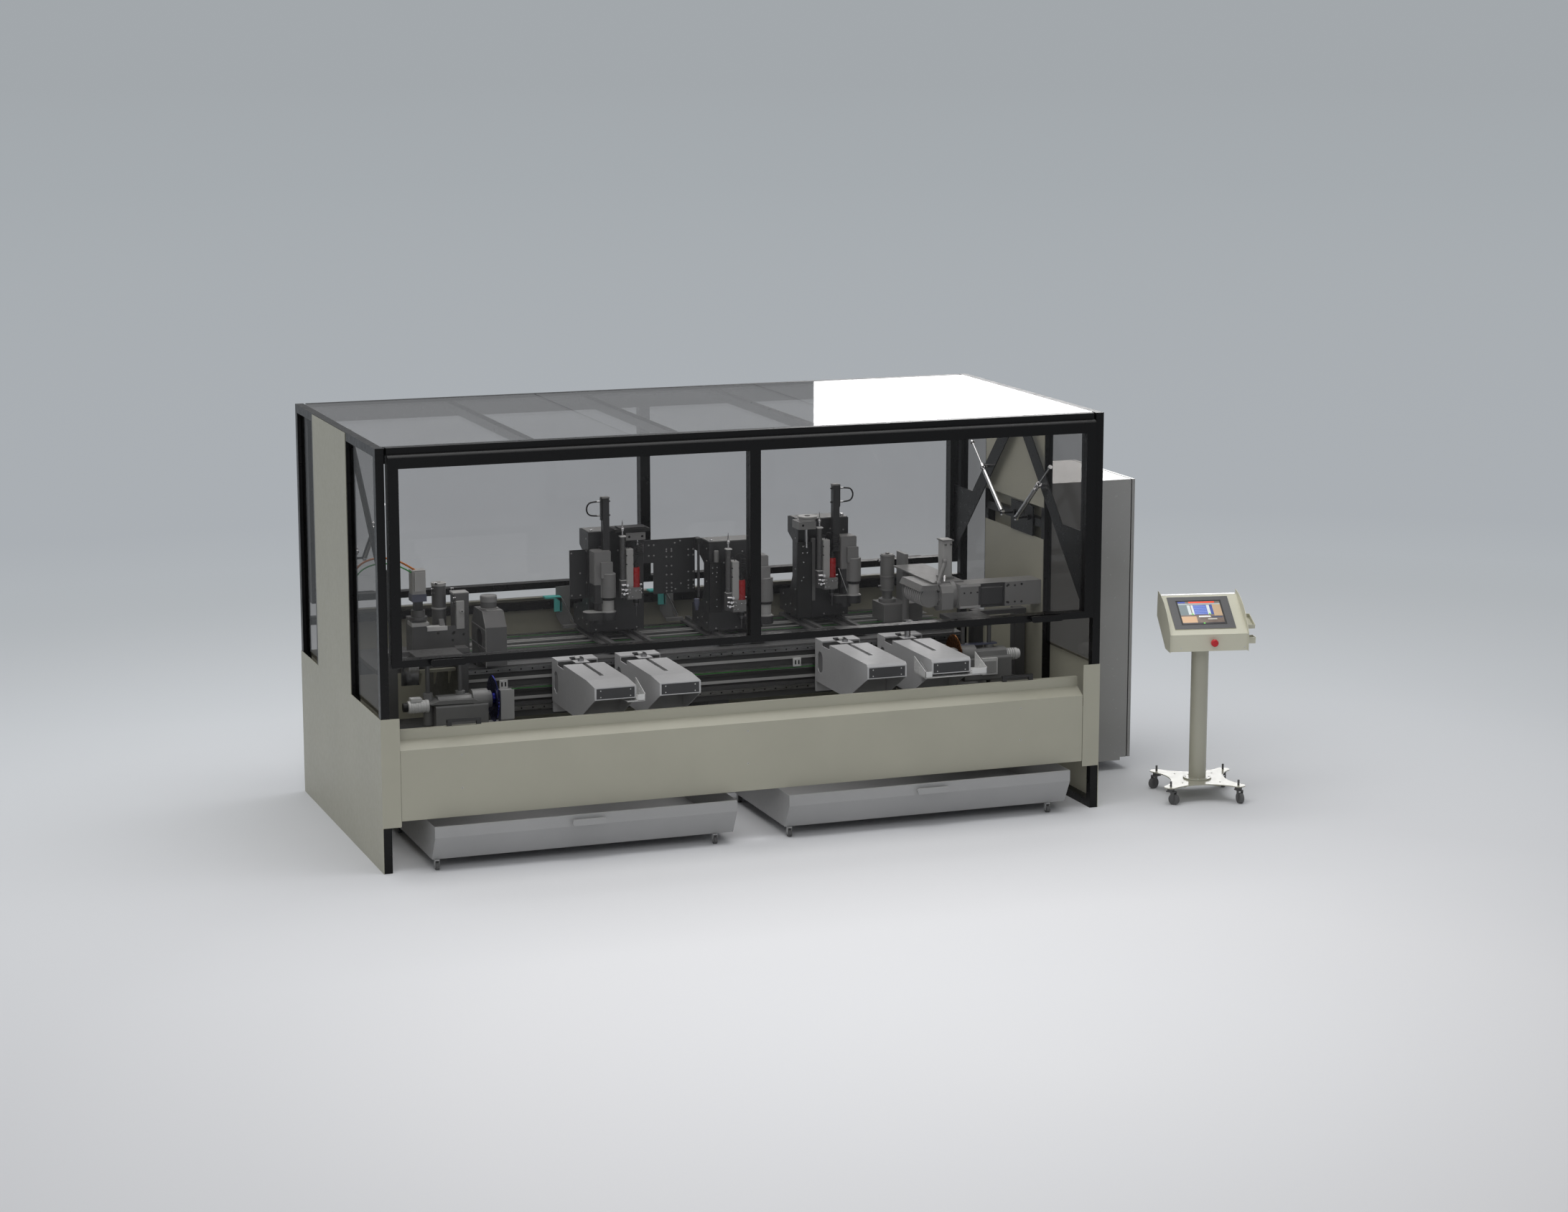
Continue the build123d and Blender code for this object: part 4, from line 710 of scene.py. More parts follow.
def consolePoint(x, y, z):
    turn = math.radians(consoleSet["turn"])
    x0, y0 = consoleSet["at"]
    return (x0 + x * math.cos(turn) - y * math.sin(turn), y0 + x * math.sin(turn) + y * math.cos(turn), z)


def turnConsole(shape):
    # moves vertices written in the console's own frame to its place
    for vertex in shape.verts:
        x = (vertex.co.x - machineShift[0]) * 1000
        y = (vertex.co.y - machineShift[1]) * 1000
        vertex.co = place(*consolePoint(x, y, vertex.co.z * 1000))


def slopePoint(x, along, lift):
    # along the console's slope from its sill, lifted off its face
    y0, z0 = consoleSet["sill"]
    y1, z1 = consoleSet["crown"]
    rise = math.atan2(z1 - z0, y1 - y0)
    return (
        x, y0 + along * math.cos(rise) - lift * math.sin(rise),
        z0 + along * math.sin(rise) + lift * math.cos(rise),
    )


def addPlateOnSlope(shape, x0, x1, a0, a1, lift, thick, look):
    rows = [slopePoint(x, a, z) for z in (lift, lift + thick) for a in (a0, a1) for x in (x0, x1)]
    faces = [(0, 2, 3, 1), (4, 5, 7, 6), (0, 1, 5, 4), (2, 6, 7, 3), (0, 4, 6, 2), (1, 3, 7, 5)]
    addFaces(shape, rows, faces, look)


screenSet = {
    # x0, x1, low, high as shares of the picture, and the colour
    "top": (0.0, 0.18, 0.93, 1.0, (0.02, 0.05, 0.30)), "banner": (0.26, 0.88, 0.93, 1.0, (0.75, 0.06, 0.02)),
    "bar": (0.0, 1.0, 0.86, 0.92, (0.32, 0.36, 0.36)), "left": (0.0, 0.20, 0.40, 0.86, (0.13, 0.17, 0.18)),
    "columnA": (0.20, 0.27, 0.42, 0.84, (0.50, 0.55, 0.55)), "columnB": (
        0.29, 0.34, 0.42, 0.84, (0.55, 0.58, 0.58),
    ),
    "table": (0.34, 0.66, 0.42, 0.84, (0.05, 0.10, 0.42)), "columnC": (
        0.66, 0.73, 0.42, 0.84, (0.55, 0.58, 0.58),
    ),
    "warm": (0.80, 1.0, 0.36, 0.86, (0.42, 0.30, 0.19)), "blue": (0.73, 0.80, 0.42, 0.84, (0.04, 0.07, 0.26)),
    "line": (0.42, 0.70, 0.30, 0.36, (0.70, 0.70, 0.68)), "lineB": (0.62, 0.84, 0.19, 0.24, (0.45, 0.44, 0.40)),
    "glow": (0.0, 0.36, 0.06, 0.34, (0.52, 0.33, 0.19)), "dark": (0.0, 1.0, 0.0, 0.055, (0.02, 0.02, 0.025)),
    "buttonA": (0.27, 0.31, 0.42, 0.46, (0.10, 0.62, 0.05)), "buttonB": (
        0.68, 0.72, 0.42, 0.47, (0.10, 0.62, 0.05),
    ),
    "buttonC": (0.49, 0.53, 0.01, 0.05, (0.10, 0.62, 0.05)), "keys": (
        0.72, 0.98, 0.27, 0.33, (0.05, 0.06, 0.10),
    ),
}


def addScreenLook(values):
    # fields are drawn on the screen's own UV map
    material, tree, shader, _ = newMaterial("screenFields")
    flat = addNode(tree, "ShaderNodeTexCoord").outputs["UV"]
    across, up, _ = addNode(tree, "ShaderNodeSeparateXYZ", {0: flat}).outputs
    cloud = noise(tree, flat, 3.0, 3)
    colour = rampColour(tree, cloud, [(0.35, (0.10, 0.075, 0.06)), (0.7, (0.20, 0.15, 0.12))])
    for x0, x1, y0, y1, field in values.values():
        colour = mixColour(tree, window(tree, across, up, x0, x1, y0, y1), colour, field)
    # thin rules across the table
    row = maths(tree, "FRACT", maths(tree, "MULTIPLY", up, 22.0), 0.0)
    rule = product(tree, [
        maths(tree, "LESS_THAN", row, 0.22), maths(tree, "GREATER_THAN", up, 0.42),
        maths(tree, "LESS_THAN", up, 0.84), maths(tree, "GREATER_THAN", across, 0.35),
        maths(tree, "LESS_THAN", across, 0.65),
    ])
    colour = mixColour(tree, rule, colour, (0.30, 0.38, 0.62))
    tree.links.new(colour, shader.inputs["Base Color"])
    tree.links.new(colour, shader.inputs["Emission Color"])
    shader.inputs["Emission Strength"].default_value = 0.45
    tree.links.new(mapRange(tree, cloud, 0.3, 0.7, 0.10, 0.16), shader.inputs["Roughness"])
    return material


def makeConsole(values):
    bezel = newShape()
    x0, x1, a0, a1 = values["bezel"]
    rim = values["rim"]
    side = rim + 14
    for box in (
        (x0, x1, a0, a0 + rim), (x0, x1, a1 - rim, a1),
        (x0, x0 + side, a0 + rim, a1 - rim), (x1 - side, x1, a0 + rim, a1 - rim),
    ):
        addPlateOnSlope(bezel, *box, 3.2, 1.6, 0)
    addPlateOnSlope(bezel, x0 + side, x1 - side, a0 + rim, a1 - rim, 3.1, 0.4, 1)
    turnConsole(bezel)
    finishPiece("consoleBezel", bezel, ["bezelGrey", "plasticBlack"], "console", 0.5)
    picture = newShape()
    addPlateOnSlope(picture, x0 + side + 10, x1 - side - 10, a0 + rim + 8, a1 - rim - 8, 3.5, 0.5, 0)
    turnConsole(picture)
    layer = picture.loops.layers.uv.new("UVMap")
    corners = ((0, 0), (1, 0), (0, 1), (1, 1))
    picture.verts.index_update()
    for face in picture.faces:
        for loop in face.loops:
            loop[layer].uv = corners[loop.vert.index % 4]
    finishPiece("consoleScreen", picture, [addScreenLook(screenSet)], "console", 0)
    # painted highlight along the top edge as a thin white strip, side plates' lips and the two low screws
    trim = newShape()
    # a thin white plate on the top face paints the highlight there
    addBox(trim, (-218, 75, 1128), (218, 107, 1130), 0)
    for x in (-168, 212):
        addTurned(trim, (x * 0.95, -186, 880), (0, -1, 0), [(0, 4.2), (1.6, 4.2), (2.4, 3.0)], 1, 16)
    turnConsole(trim)
    finishPiece("consoleHighlightAndScrews", trim, ["whiteGloss", "screwZinc"], "console", 0.4)


def lobeOutline(values):
    # four rounded lobes joined by hollow sides
    points = []
    reach = values["reach"]
    radius = values["lobeRadius"]
    for i in range(4):
        turn = math.radians(values["lobes"] + 90 * i)
        centre = Vector((reach * math.cos(turn), reach * math.sin(turn)))
        for k in range(-6, 7):
            swing = turn + math.radians(13 * k)
            points.append(centre + Vector((math.cos(swing), math.sin(swing))) * radius)
        start = points[-1]
        nextTurn = turn + math.pi / 2
        nextCentre = Vector((reach * math.cos(nextTurn), reach * math.sin(nextTurn)))
        swing = nextTurn - math.radians(78)
        end = nextCentre + Vector((math.cos(swing), math.sin(swing))) * radius
        middle = Vector((math.cos(turn + math.pi / 4), math.sin(turn + math.pi / 4)))
        first = start - Vector((math.cos(turn), math.sin(turn))) * 120 - middle * 6
        second = end - Vector((math.cos(nextTurn), math.sin(nextTurn))) * 120 - middle * 6
        for k in range(1, 14):
            t = k / 14
            points.append(
                start * (1 - t) ** 3 + first * 3 * t * (1 - t) ** 2 + second * 3 * t * t * (1 - t) + end * t ** 3
            )
    return points


def makeStand(values):
    x0, y0 = values["at"]
    low = values["plateLow"]
    high = values["plateHigh"]
    stand = newShape()
    outline = [(x0 + p.x, y0 + p.y) for p in lobeOutline(values)]
    addSlab(stand, "z", outline, low, high, 0)
    base = (x0, y0, high)
    addTurned(
        stand, base, (0, 0, 1), [(0, 79), (6.5, 79), (8, 77.5), (8, 48.5), (12, 48.5), (770, 48.5)], 0, 48,
    )
    for i in range(4):
        turn = math.radians(values["lobes"] + 90 * i)
        along = Vector((math.cos(turn), math.sin(turn)))
        side = Vector((-along.y, along.x))
        rib = [along * 40 + side * 20, along * 175 + side * 20, along * 175 - side * 20, along * 40 - side * 20]
        rows = [(x0 + p.x, y0 + p.y, low) for p in rib]
        rows += [(x0 + p.x * 0.86, y0 + p.y * 0.86, low - 18) for p in rib]
        faces = [(0, 1, 2, 3), (7, 6, 5, 4), (0, 4, 5, 1), (1, 5, 6, 2), (2, 6, 7, 3), (3, 7, 4, 0)]
        addFaces(stand, rows, faces, 0)
    finished = finishPiece("consoleStand", stand, ["standBeige"], "console", 0.8)
    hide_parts("console_stand")
    rows = []
    for i in range(8):
        turn = math.radians(22 + 45 * i)
        rows.append((x0 + 66 * math.cos(turn), y0 + 66 * math.sin(turn), high + 8, "+z"))
    for i in range(4):
        turn = math.radians(values["lobes"] + 90 * i)
        rows.append((x0 + 150 * math.cos(turn), y0 + 150 * math.sin(turn), high, "+z"))
    addScrews("consoleScrews", "console", rows, 4.5, 1.2)


makeConsole(consoleSet)
makeStand(consoleSet)
print("console made")


# heads: caps, collars, fittings, covers and brackets on each head
def makeHeadParts(side, head):
    x = head["spindle"]
    front = head["front"]
    y = front - 110
    red = head["tip"] + 169
    slide = newShape()
    # spindle sleeve with its black ends
    addTurned(
        slide, (x, y, red - 1), (0, 0, 1),
        [(0, 19), (1, 21.6), (104, 21.6), (107, 20.2), (110.4, 20.2), (111, 14)], 0, 40,
    )
    addTurned(
        slide, (x, y, red + 111), (0, 0, 1), [(0, 14), (8, 14), (9, 12.4), (20, 12.4), (21, 8), (30, 6.5)], 1,
        28,
    )
    # cylinder with light end rings, and its elbow fittings
    cx = x - 74
    cy = y + 10
    for z in (red + 34, red + 284):
        addBox(slide, (cx - 17, cy - 17, z), (cx + 17, cy + 17, z + 7), 2)
    for z in (red + 60, red + 150, red + 240):
        addTurned(slide, (cx, cy, z), (0, 0, 1), [(0, 15.2), (0.5, 15.9), (5, 15.9), (5.5, 15.2)], 3, 24)
    addRod(slide, (cx, cy, red + 290), (cx, cy, red + 318), 6, 4)
    addTurned(
        slide, (cx, cy, red + 318), (0, 0, 1),
        [(0, 9), (2, 11), (14, 11), (16, 8), (24, 5), (44, 3), (60, 1.2)], 4, 16,
    )
    for k, z in enumerate((red + 14, red - 12, red - 34)):
        addRod(slide, (cx - 14, y - 12, z), (cx + 22, y - 26, z), 7, 4)
        addRod(slide, (cx + 16 - 10 * k, y - 8, z), (cx + 16 - 10 * k, y - 32, z), 8.5, 4)
        addRod(slide, (x + 20, y - 6, z - 4), (x + 33, y - 6, z - 4), 5, 4)
    # slide plate's face with its clamping notches
    addBox(slide, (x - 55, y - 13.2, red + 4), (x - 19, y - 11.8, red + 212), 5)
    for z in (red + 130, red + 180):
        for dx in (-57, -17):
            addTurned(slide, (x + dx, y - 14, z), (0, 1, 0), [(0, 3.8), (8, 3.8)], 1, 14)
    for dx, z in ((-50, -52), (-30, -52), (-42, -12), (-42, -30), (-8, -20), (14, -20)):
        addTurned(slide, (x + dx, y - 27.5, red + z), (0, -1, 0), [(0, 4), (2, 4), (2.6, 2.6)], 4, 14)
    # collet nut over the holder's foot
    addTurned(slide, (x, y, red - 70), (0, 0, -1), [(0, 15), (3, 15), (4, 17.5), (22, 17.5), (25, 14)], 1, 24)
    looks = ["spindleRed", "plasticBlack", "whiteGloss", "darkSteel", "chromeRod", "lightGrey"]
    finishPiece(side + "SlideParts", slide, looks, side + "_head_slide", 0.5)

    column = newShape()
    base = head["base"]
    dx = head["drive"]
    dy = front - 95
    gear = dx - 24
    # motor's cap, cooling ribs, dotted collar and the belt guard's lid
    addTurned(
        column, (dx, dy, base + 255), (0, 0, 1), [(0, 42.8), (2, 43.4), (5, 43.4), (8, 41), (9, 36)], 0, 40,
    )
    for z in range(8):
        addTurned(
            column, (dx, dy, base + 146 + 13 * z), (0, 0, 1), [(0, 42.9), (0.8, 43.7), (3, 43.7), (3.8, 42.9)],
            0, 40,
        )
    addTurned(column, (dx, dy, base + 112), (0, 0, 1), [(0, 36), (1, 38), (14, 38), (15, 36)], 1, 32)
    for k in range(12):
        turn = 2 * math.pi * k / 12
        way = (math.cos(turn), math.sin(turn), 0)
        addTurned(
            column, (dx + 37.4 * way[0], dy + 37.4 * way[1], base + 119.5), way, [(0, 3.4), (1.4, 3.4)], 2, 10,
        )
    addTurned(column, (dx, dy, base + 46), (0, 0, 1), [(0, 38), (5, 38), (6, 34)], 3, 32)
    addBox(column, (dx - 88, dy - 8, base + 44), (dx + 8, dy + 60, base + 46.4), 3)
    for k in range(5):
        turn = math.radians(-80 + 40 * k)
        addTurned(
            column, (dx + 38 * math.cos(turn), dy + 5 + 38 * math.sin(turn), base + 46), (0, 0, 1),
            [(0, 4), (3, 4), (4, 2.4)], 4, 12,
        )
    # gear box's raised cover and its lid
    addBox(column, (gear - 23, front - 124, base + 239), (gear + 44, front - 104, base + 328), 0)
    addBox(column, (gear - 52, front - 99, base + 385), (gear + 36, front - 4, base + 388), 5)
    # plate over the column's top, and the lift's block below it
    high = columnSet["low"] + columnSet[side]
    left = head["left"]
    right = head["right"]
    addBox(column, (left + 4, front + 3, high), (right - 4, front + 150, high + 5), 5)
    addTurned(column, (left + 24, front + 30, high + 5), (0, 0, 1), [(0, 9), (6, 9), (8, 6)], 4, 16)
    addTurned(column, (right - 34, front + 20, high + 5), (0, 0, 1), [(0, 11), (16, 11), (18, 8)], 4, 16)
    if side == "left":
        addBox(column, (1727, 1310, high - 42), (1842, front + 2, high + 2), 5)
        for hole in (1746, 1822):
            addTurned(column, (hole, 1310, high - 22), (0, -1, 0), [(0, 7), (0.8, 7)], 2, 16)
        addBox(column, (1662, 1304, high + 6), (1866, 1424, high + 24), 1)
        addBox(column, (1690, 1312, high + 24), (1850, 1400, high + 31), 6)
        addRod(column, (1800, 1330, high - 120), (1800, 1330, high - 40), 8, 4)
    if side == "right":
        addBox(column, (2751, 1290, high - 38), (2855, front + 2, high + 6), 5)
        addTurned(column, (2776, 1290, high - 14), (0, -1, 0), [(0, 7), (0.8, 7)], 2, 16)
        addTurned(
            column, (2819, 1336, high + 6), (0, 0, 1),
            [(0, 47), (14, 47), (15, 30), (17, 30), (17.5, 54), (20, 56), (26, 56), (28, 54)], 3, 48,
        )
        addTurned(column, (2819, 1336, high + 34), (0, 0, 1), [(0, 16), (2, 16)], 1, 24)
        addRod(column, (2812, 1330, high - 150), (2812, 1330, high - 38), 8, 4)
        addBox(column, (2762, 1344, 904), (2852, 1362, 1342), 1)
        addBox(column, (2852, 1352, 1000), (2874, 1372, 1360), 5)
        for sx, sz in (
            (2794, 1283), (2822, 1283), (2800, 1228), (2800, 1141),
            (2788, 1122), (2796, 1320), (2818, 1320), (2806, 1322),
        ):
            addTurned(column, (sx, 1344, sz), (0, -1, 0), [(0, 4.2), (2, 4.2), (2.6, 2.6)], 4, 12)
    if side == "middle":
        addBox(column, (2176, 1176, 1004), (2250, 1192, 1292), 1)
        addBox(column, (2180, 1192, 1010), (2246, 1201, 1286), 6)
        addTurned(column, (2216, 1182, 1292), (0, 0, 1), [(0, 14), (62, 14), (66, 11)], 5, 24)
        addBox(column, (2106, 1196, 1402), (2136, 1226, 1430), 1)
        addBox(column, (2112, 1200, 1096), (2124, 1212, 1402), 6)
        addTurned(column, (2108, 1210, 1020), (0, 0, 1), [(0, 8), (40, 16), (64, 16), (66, 12)], 7, 24)
        for sx, sz in (
            (2192, 1262), (2218, 1262), (2192, 1232), (2218, 1232),
            (2214, 1210), (2214, 1180), (2216, 1080), (2216, 1040),
        ):
            addTurned(column, (sx, 1176, sz), (0, -1, 0), [(0, 3.6), (2, 3.6), (2.6, 2.4)], 4, 12)
    if side != "left":
        reach = 1 if side == "right" else 0.35
        addRod(column, (x + 40, y, red + 47), (x + 40 + 59 * reach, y, red + 47 - 155 * reach), 3.4, 4)
    if head["post"]:
        px = head["post"]
        py = front - 59
        addBox(column, (px - 21, py - 21, 1664), (px + 21, py + 21, 1672), 5)
        way = -1 if side == "left" else 1
        addBox(
            column, (min(px + way * 18, px + way * 26), py - 14, 1540),
            (max(px + way * 18, px + way * 26), py + 14, 1668), 1,
        )
        for z in (1567, 1646):
            addRod(column, (px + way * 26, py, z), (px + way * 48, py, z), 5.6, 4)
            addRod(column, (px - way * 19, py, z), (px - way * 30, py, z), 4.5, 1)
    looks = [
        "motorGrey", "plasticBlack", "frameBlack", "lightGrey", "chromeRod", "unitGrey", "headGrey", "gearBlue",
    ]
    finishPiece(side + "ColumnParts", column, looks, side + "_head_column", 0.6)

    # cable bracket behind the carriage: cyan angle, grey gusset with a bright bent edge
    if side != "right":
        bracket = newShape()
        bx = 1369 if side == "left" else 1990
        outline = [
            (bx + 73, 1104), (bx + 156, 1106), (bx + 156, 905), (bx + 178, 868), (bx + 110, 868),
            (bx + 73, 930),
        ]
        addSlab(bracket, "y", outline, 1742, 1746, 0)
        addSlab(
            bracket, "y", [(bx + 52, 1052), (bx + 96, 1046), (bx + 170, 905), (bx + 162, 890), (bx + 96, 1020)],
            1700, 1704, 0,
        )
        addRod(bracket, (bx + 94, 1698, 1048), (bx + 172, 1698, 900), 3, 1)
        addBox(bracket, (bx, 1700, 1044), (bx + 94, 1760, 1054), 2)
        addBox(bracket, (bx + 50, 1700, 968), (bx + 94, 1706, 1044), 2)
        addBox(bracket, (bx + 84, 1700, 966), (bx + 96, 1740, 1044), 2)
        addBox(bracket, (bx + 100, 1690, 868), (bx + 200, 1720, 886), 0)
        finishPiece(
            side + "Bracket", bracket, ["unitGrey", "chromeRod", "bracketCyan"], side + "_head_carriage",
            0.5,
        )


for side, head in headSet.items():
    makeHeadParts(side, head)
print("heads detailed")

# left end unit: front plate's trim, cylinder's rings, fittings, servo's plates and shelf
leftUnitSet = {"plate": 990, "cylinder": (594, 1100, 1290), "servo": (440, 950)}
guardSet = {"port": (837, 970), "sides": (780, 895)}


def makeLeftUnit(values):
    shape = newShape()
    y = values["plate"]
    addBox(shape, (499, y - 3, 1050), (611, y + 4, 1073), 0)
    addBox(shape, (499, y + 2, 1070), (600, y + 40, 1074), 0)
    addBox(shape, (661, y - 7, 1054), (705, y + 90, 1205), 1)
    addTurned(shape, (690, y - 7, 1150), (0, -1, 0), [(0, 12), (9, 12), (10, 9)], 1, 20)
    addTurned(shape, (690, y - 17, 1150), (0, -1, 0), [(0, 4), (1, 4)], 3, 12)
    addBox(shape, (652, 1014, 1236), (740, 1094, 1246), 1)
    x, cy, top = values["cylinder"]
    addTurned(shape, (x, cy, top), (0, 0, 1), [(0, 41), (3, 41), (5, 39), (5, 12), (9, 12)], 1, 36)
    addTurned(shape, (x, cy, 1012), (0, 0, 1), [(0, 52), (12, 52), (16, 46), (30, 46), (32, 40)], 1, 36)
    addTurned(shape, (x, cy, 1150), (0, 0, 1), [(0, 39), (1, 40.5), (8, 40.5), (9, 39)], 1, 36)
    for fx, fy, fz in (
        (548, 1080, 1240), (546, 1080, 1262), (646, 1000, 1220),
        (642, 1000, 1196), (560, 1060, 1296), (650, 1060, 1262),
    ):
        addRod(shape, (fx, fy, fz), (fx + 16, fy, fz), 6, 2)
        addTurned(shape, (fx + 8, fy, fz), (0, -1, 0), [(0, 5), (14, 5), (15, 3.6)], 3, 12)
    sx, sy = values["servo"]
    addBox(shape, (sx - 28, sy - 53, 1288), (sx + 28, sy - 45, 1392), 1)
    for k in range(4):
        addTurned(
            shape, (sx - 33 + 66 * (k % 2), sy - 33 + 66 * (k // 2), 1270), (0, 0, -1), [(0, 5), (7, 5)], 3, 12,
        )
    addBox(shape, (392, 902, 1096), (488, 998, 1116), 1)
    for px, pz in ((452, 1036), (648, 1036), (452, 930), (560, 930), (648, 930), (704, 930), (560, 1036)):
        addTurned(shape, (px, y, pz), (0, -1, 0), [(0, 7), (1.6, 7), (2.4, 5)], 3, 14)
    addBox(shape, (431, 900, 842), (635, 960, 857), 4)
    for bx in (440, 520, 600):
        addSlab(shape, "x", [(905, 842), (955, 842), (955, 765)], bx, bx + 8, 4)
    addBox(shape, (327, 895, 780), (425, 905, 891), 2)
    finishPiece(
        "leftUnitParts", shape, ["whiteGloss", "lightGrey", "chromeRod", "plasticBlack", "panelBeige"],
        "machine", 0.6,
    )


makeLeftUnit(leftUnitSet)


# left guard: flared collar, flange strips and bolts
def makeCollar(values):
    shape = newShape()
    x, y = values["port"]
    left, right = values["sides"]
    addTurned(shape, (x, y, 1158), (0, 0, 1), [(0, 50), (5, 50), (7, 45)], 1, 48)
    addTurned(shape, (x, y, 1196), (0, 0, 1), [(0, 43.8), (3, 46), (30, 46), (33, 43.8)], 0, 48)
    for z in (1062, 960):
        addBox(shape, (left - 3, 823, z), (left, 1117, z + 5), 1)
    addBox(shape, (left + 26, 884, 1157), (right - 2, 926, 1160), 1)
    addSlab(
        shape, "x", [(1124, 862), (1124, 1062), (1062, 1161), (1050, 1161), (1112, 1060), (1112, 862)], right,
        right + 4, 1,
    )
    addSlab(
        shape, "x", [(816, 862), (816, 1082), (878, 1161), (890, 1161), (828, 1080), (828, 862)], left - 4,
        left, 1,
    )
    for z in (900, 1000, 1060):
        addTurned(shape, (right, 836, z), (1, 0, 0), [(0, 5), (3, 5), (4, 3.4)], 2, 12)
        addTurned(shape, (left, 836, z), (-1, 0, 0), [(0, 5), (3, 5), (4, 3.4)], 2, 12)
    finishPiece("guardCollar", shape, ["motorGrey", "unitGrey", "chromeRod"], "machine", 0.5)


makeCollar(guardSet)

# right end unit: arm box covers, drum plates, ribs on the motor, actuator's ports and link
rightUnitSet = {"box": (3483, 680, 1030, 1167), "cylinder": (3338, 1400, 959), "top": 1400}


def makeRightUnit(values):
    shape = newShape()
    x, front, low, high = values["box"]
    middle = (low + high) / 2
    addBox(shape, (x + 6, front - 3, high - 14), (x + 128, front, high - 2), 0)
    addBox(shape, (x + 6, front - 3, low + 2), (x + 128, front, low + 14), 0)
    for k in range(3):
        addTurned(shape, (x + 30 + 40 * k, front, middle + 20), (0, -1, 0), [(0, 5), (2.4, 5), (3, 3.6)], 3, 12)
    for k in range(4):
        addTurned(
            shape, (x + 290 + 24 * (k % 2) * 2, front - 4, low + 22 + (high - low - 44) * (k // 2)), (0, -1, 0),
            [(0, 6), (2, 6), (2.6, 4)], 3, 12,
        )
    addTurned(
        shape, (x - 26, front + 100, middle), (-1, 0, 0),
        [(0, 70), (3, 70), (4, 66), (4, 24), (10, 24), (11, 20)], 1, 40,
    )
    for k in range(8):
        turn = math.radians(22.5 + 45 * k)
        addTurned(
            shape, (x - 96, front + 100 + 50 * math.cos(turn), middle + 50 * math.sin(turn)), (-1, 0, 0),
            [(0, 6), (5, 6), (6, 4)], 2, 12,
        )
    for k in range(9):
        at = front + 84 + 27 * k
        addTurned(
            shape, (x - 150, at, middle - 8), (0, 1, 0), [(0, 55.2), (1.5, 58), (7, 58), (8.5, 55.2)], 0, 36,
        )
    addSlab(
        shape, "y",
        [
            (x - 216, high - 36), (x - 198, high - 2), (x - 108, high - 2), (x - 92, high - 36),
            (x - 104, high - 36), (x - 114, high - 10), (x - 192, high - 10), (x - 204, high - 36),
        ],
        front + 56, front + 364, 1,
    )
    ax = x - 8
    ay = front + 190
    top = values["top"]
    addBox(shape, (ax - 34, ay - 44, top - 8), (ax + 34, ay + 44, top - 1), 1)
    for dx in (-16, 16):
        addTurned(shape, (ax + dx, ay - 40, top - 26), (0, -1, 0), [(0, 7), (8, 7), (9, 5)], 1, 14)
        addTurned(shape, (ax + dx, ay - 49, top - 26), (0, -1, 0), [(0, 3.4), (0.6, 3.4)], 3, 10)
    addBox(shape, (ax - 36, ay - 45, high + 10), (ax + 36, ay + 45, high + 22), 1)
    addRod(shape, (ax - 24, ay - 54, high + 30), (x - 70, front + 60, middle + 30), 9, 2)
    addRod(shape, (ax - 26, ay - 60, top - 120), (x - 96, front + 80, high + 2), 13, 1)
    addTurned(shape, (ax - 40, ay - 60, top - 120), (1, 0, 0), [(0, 16), (18, 16)], 1, 20)
    addTurned(shape, (x - 108, front + 80, high + 2), (1, 0, 0), [(0, 15), (22, 15)], 1, 20)
    cx, cy, ct = values["cylinder"]
    for z in (ct + 62, ct + 140, ct + 262):
        addTurned(shape, (cx, cy, z), (0, 0, 1), [(0, 41), (1, 43), (9, 43), (10, 41)], 1, 36)
    addTurned(shape, (cx, cy, ct + 271), (0, 0, 1), [(0, 36), (4, 36), (6, 12), (14, 12)], 1, 28)
    for z in (ct + 90, ct + 236):
        addRod(shape, (cx - 58, cy, z), (cx - 40, cy, z), 6, 2)
        addRod(shape, (cx - 58, cy, z - 8), (cx - 58, cy, z + 10), 5, 3)
    finishPiece(
        "rightUnitParts", shape, ["lightGrey", "unitGrey", "chromeRod", "plasticBlack"], "machine",
        0.6,
    )


makeRightUnit(rightUnitSet)


# clamp tables: dark front plates, slot lips and the bent side sheets of two of them
clampSet = {
    "bed": (700, 2940), "places": (0.2027, 0.3248, 0.7259, 0.8541), "half": 114.5, "face": 151,
    "bracketFront": 135, "bracketBack": 300, "bracketLow": 774, "sheet": 3,
    "brackets": {0: (((118, 160),), (60, 160)), 3: (((-158, -118), (118, 206)), (-158, 206))},
}


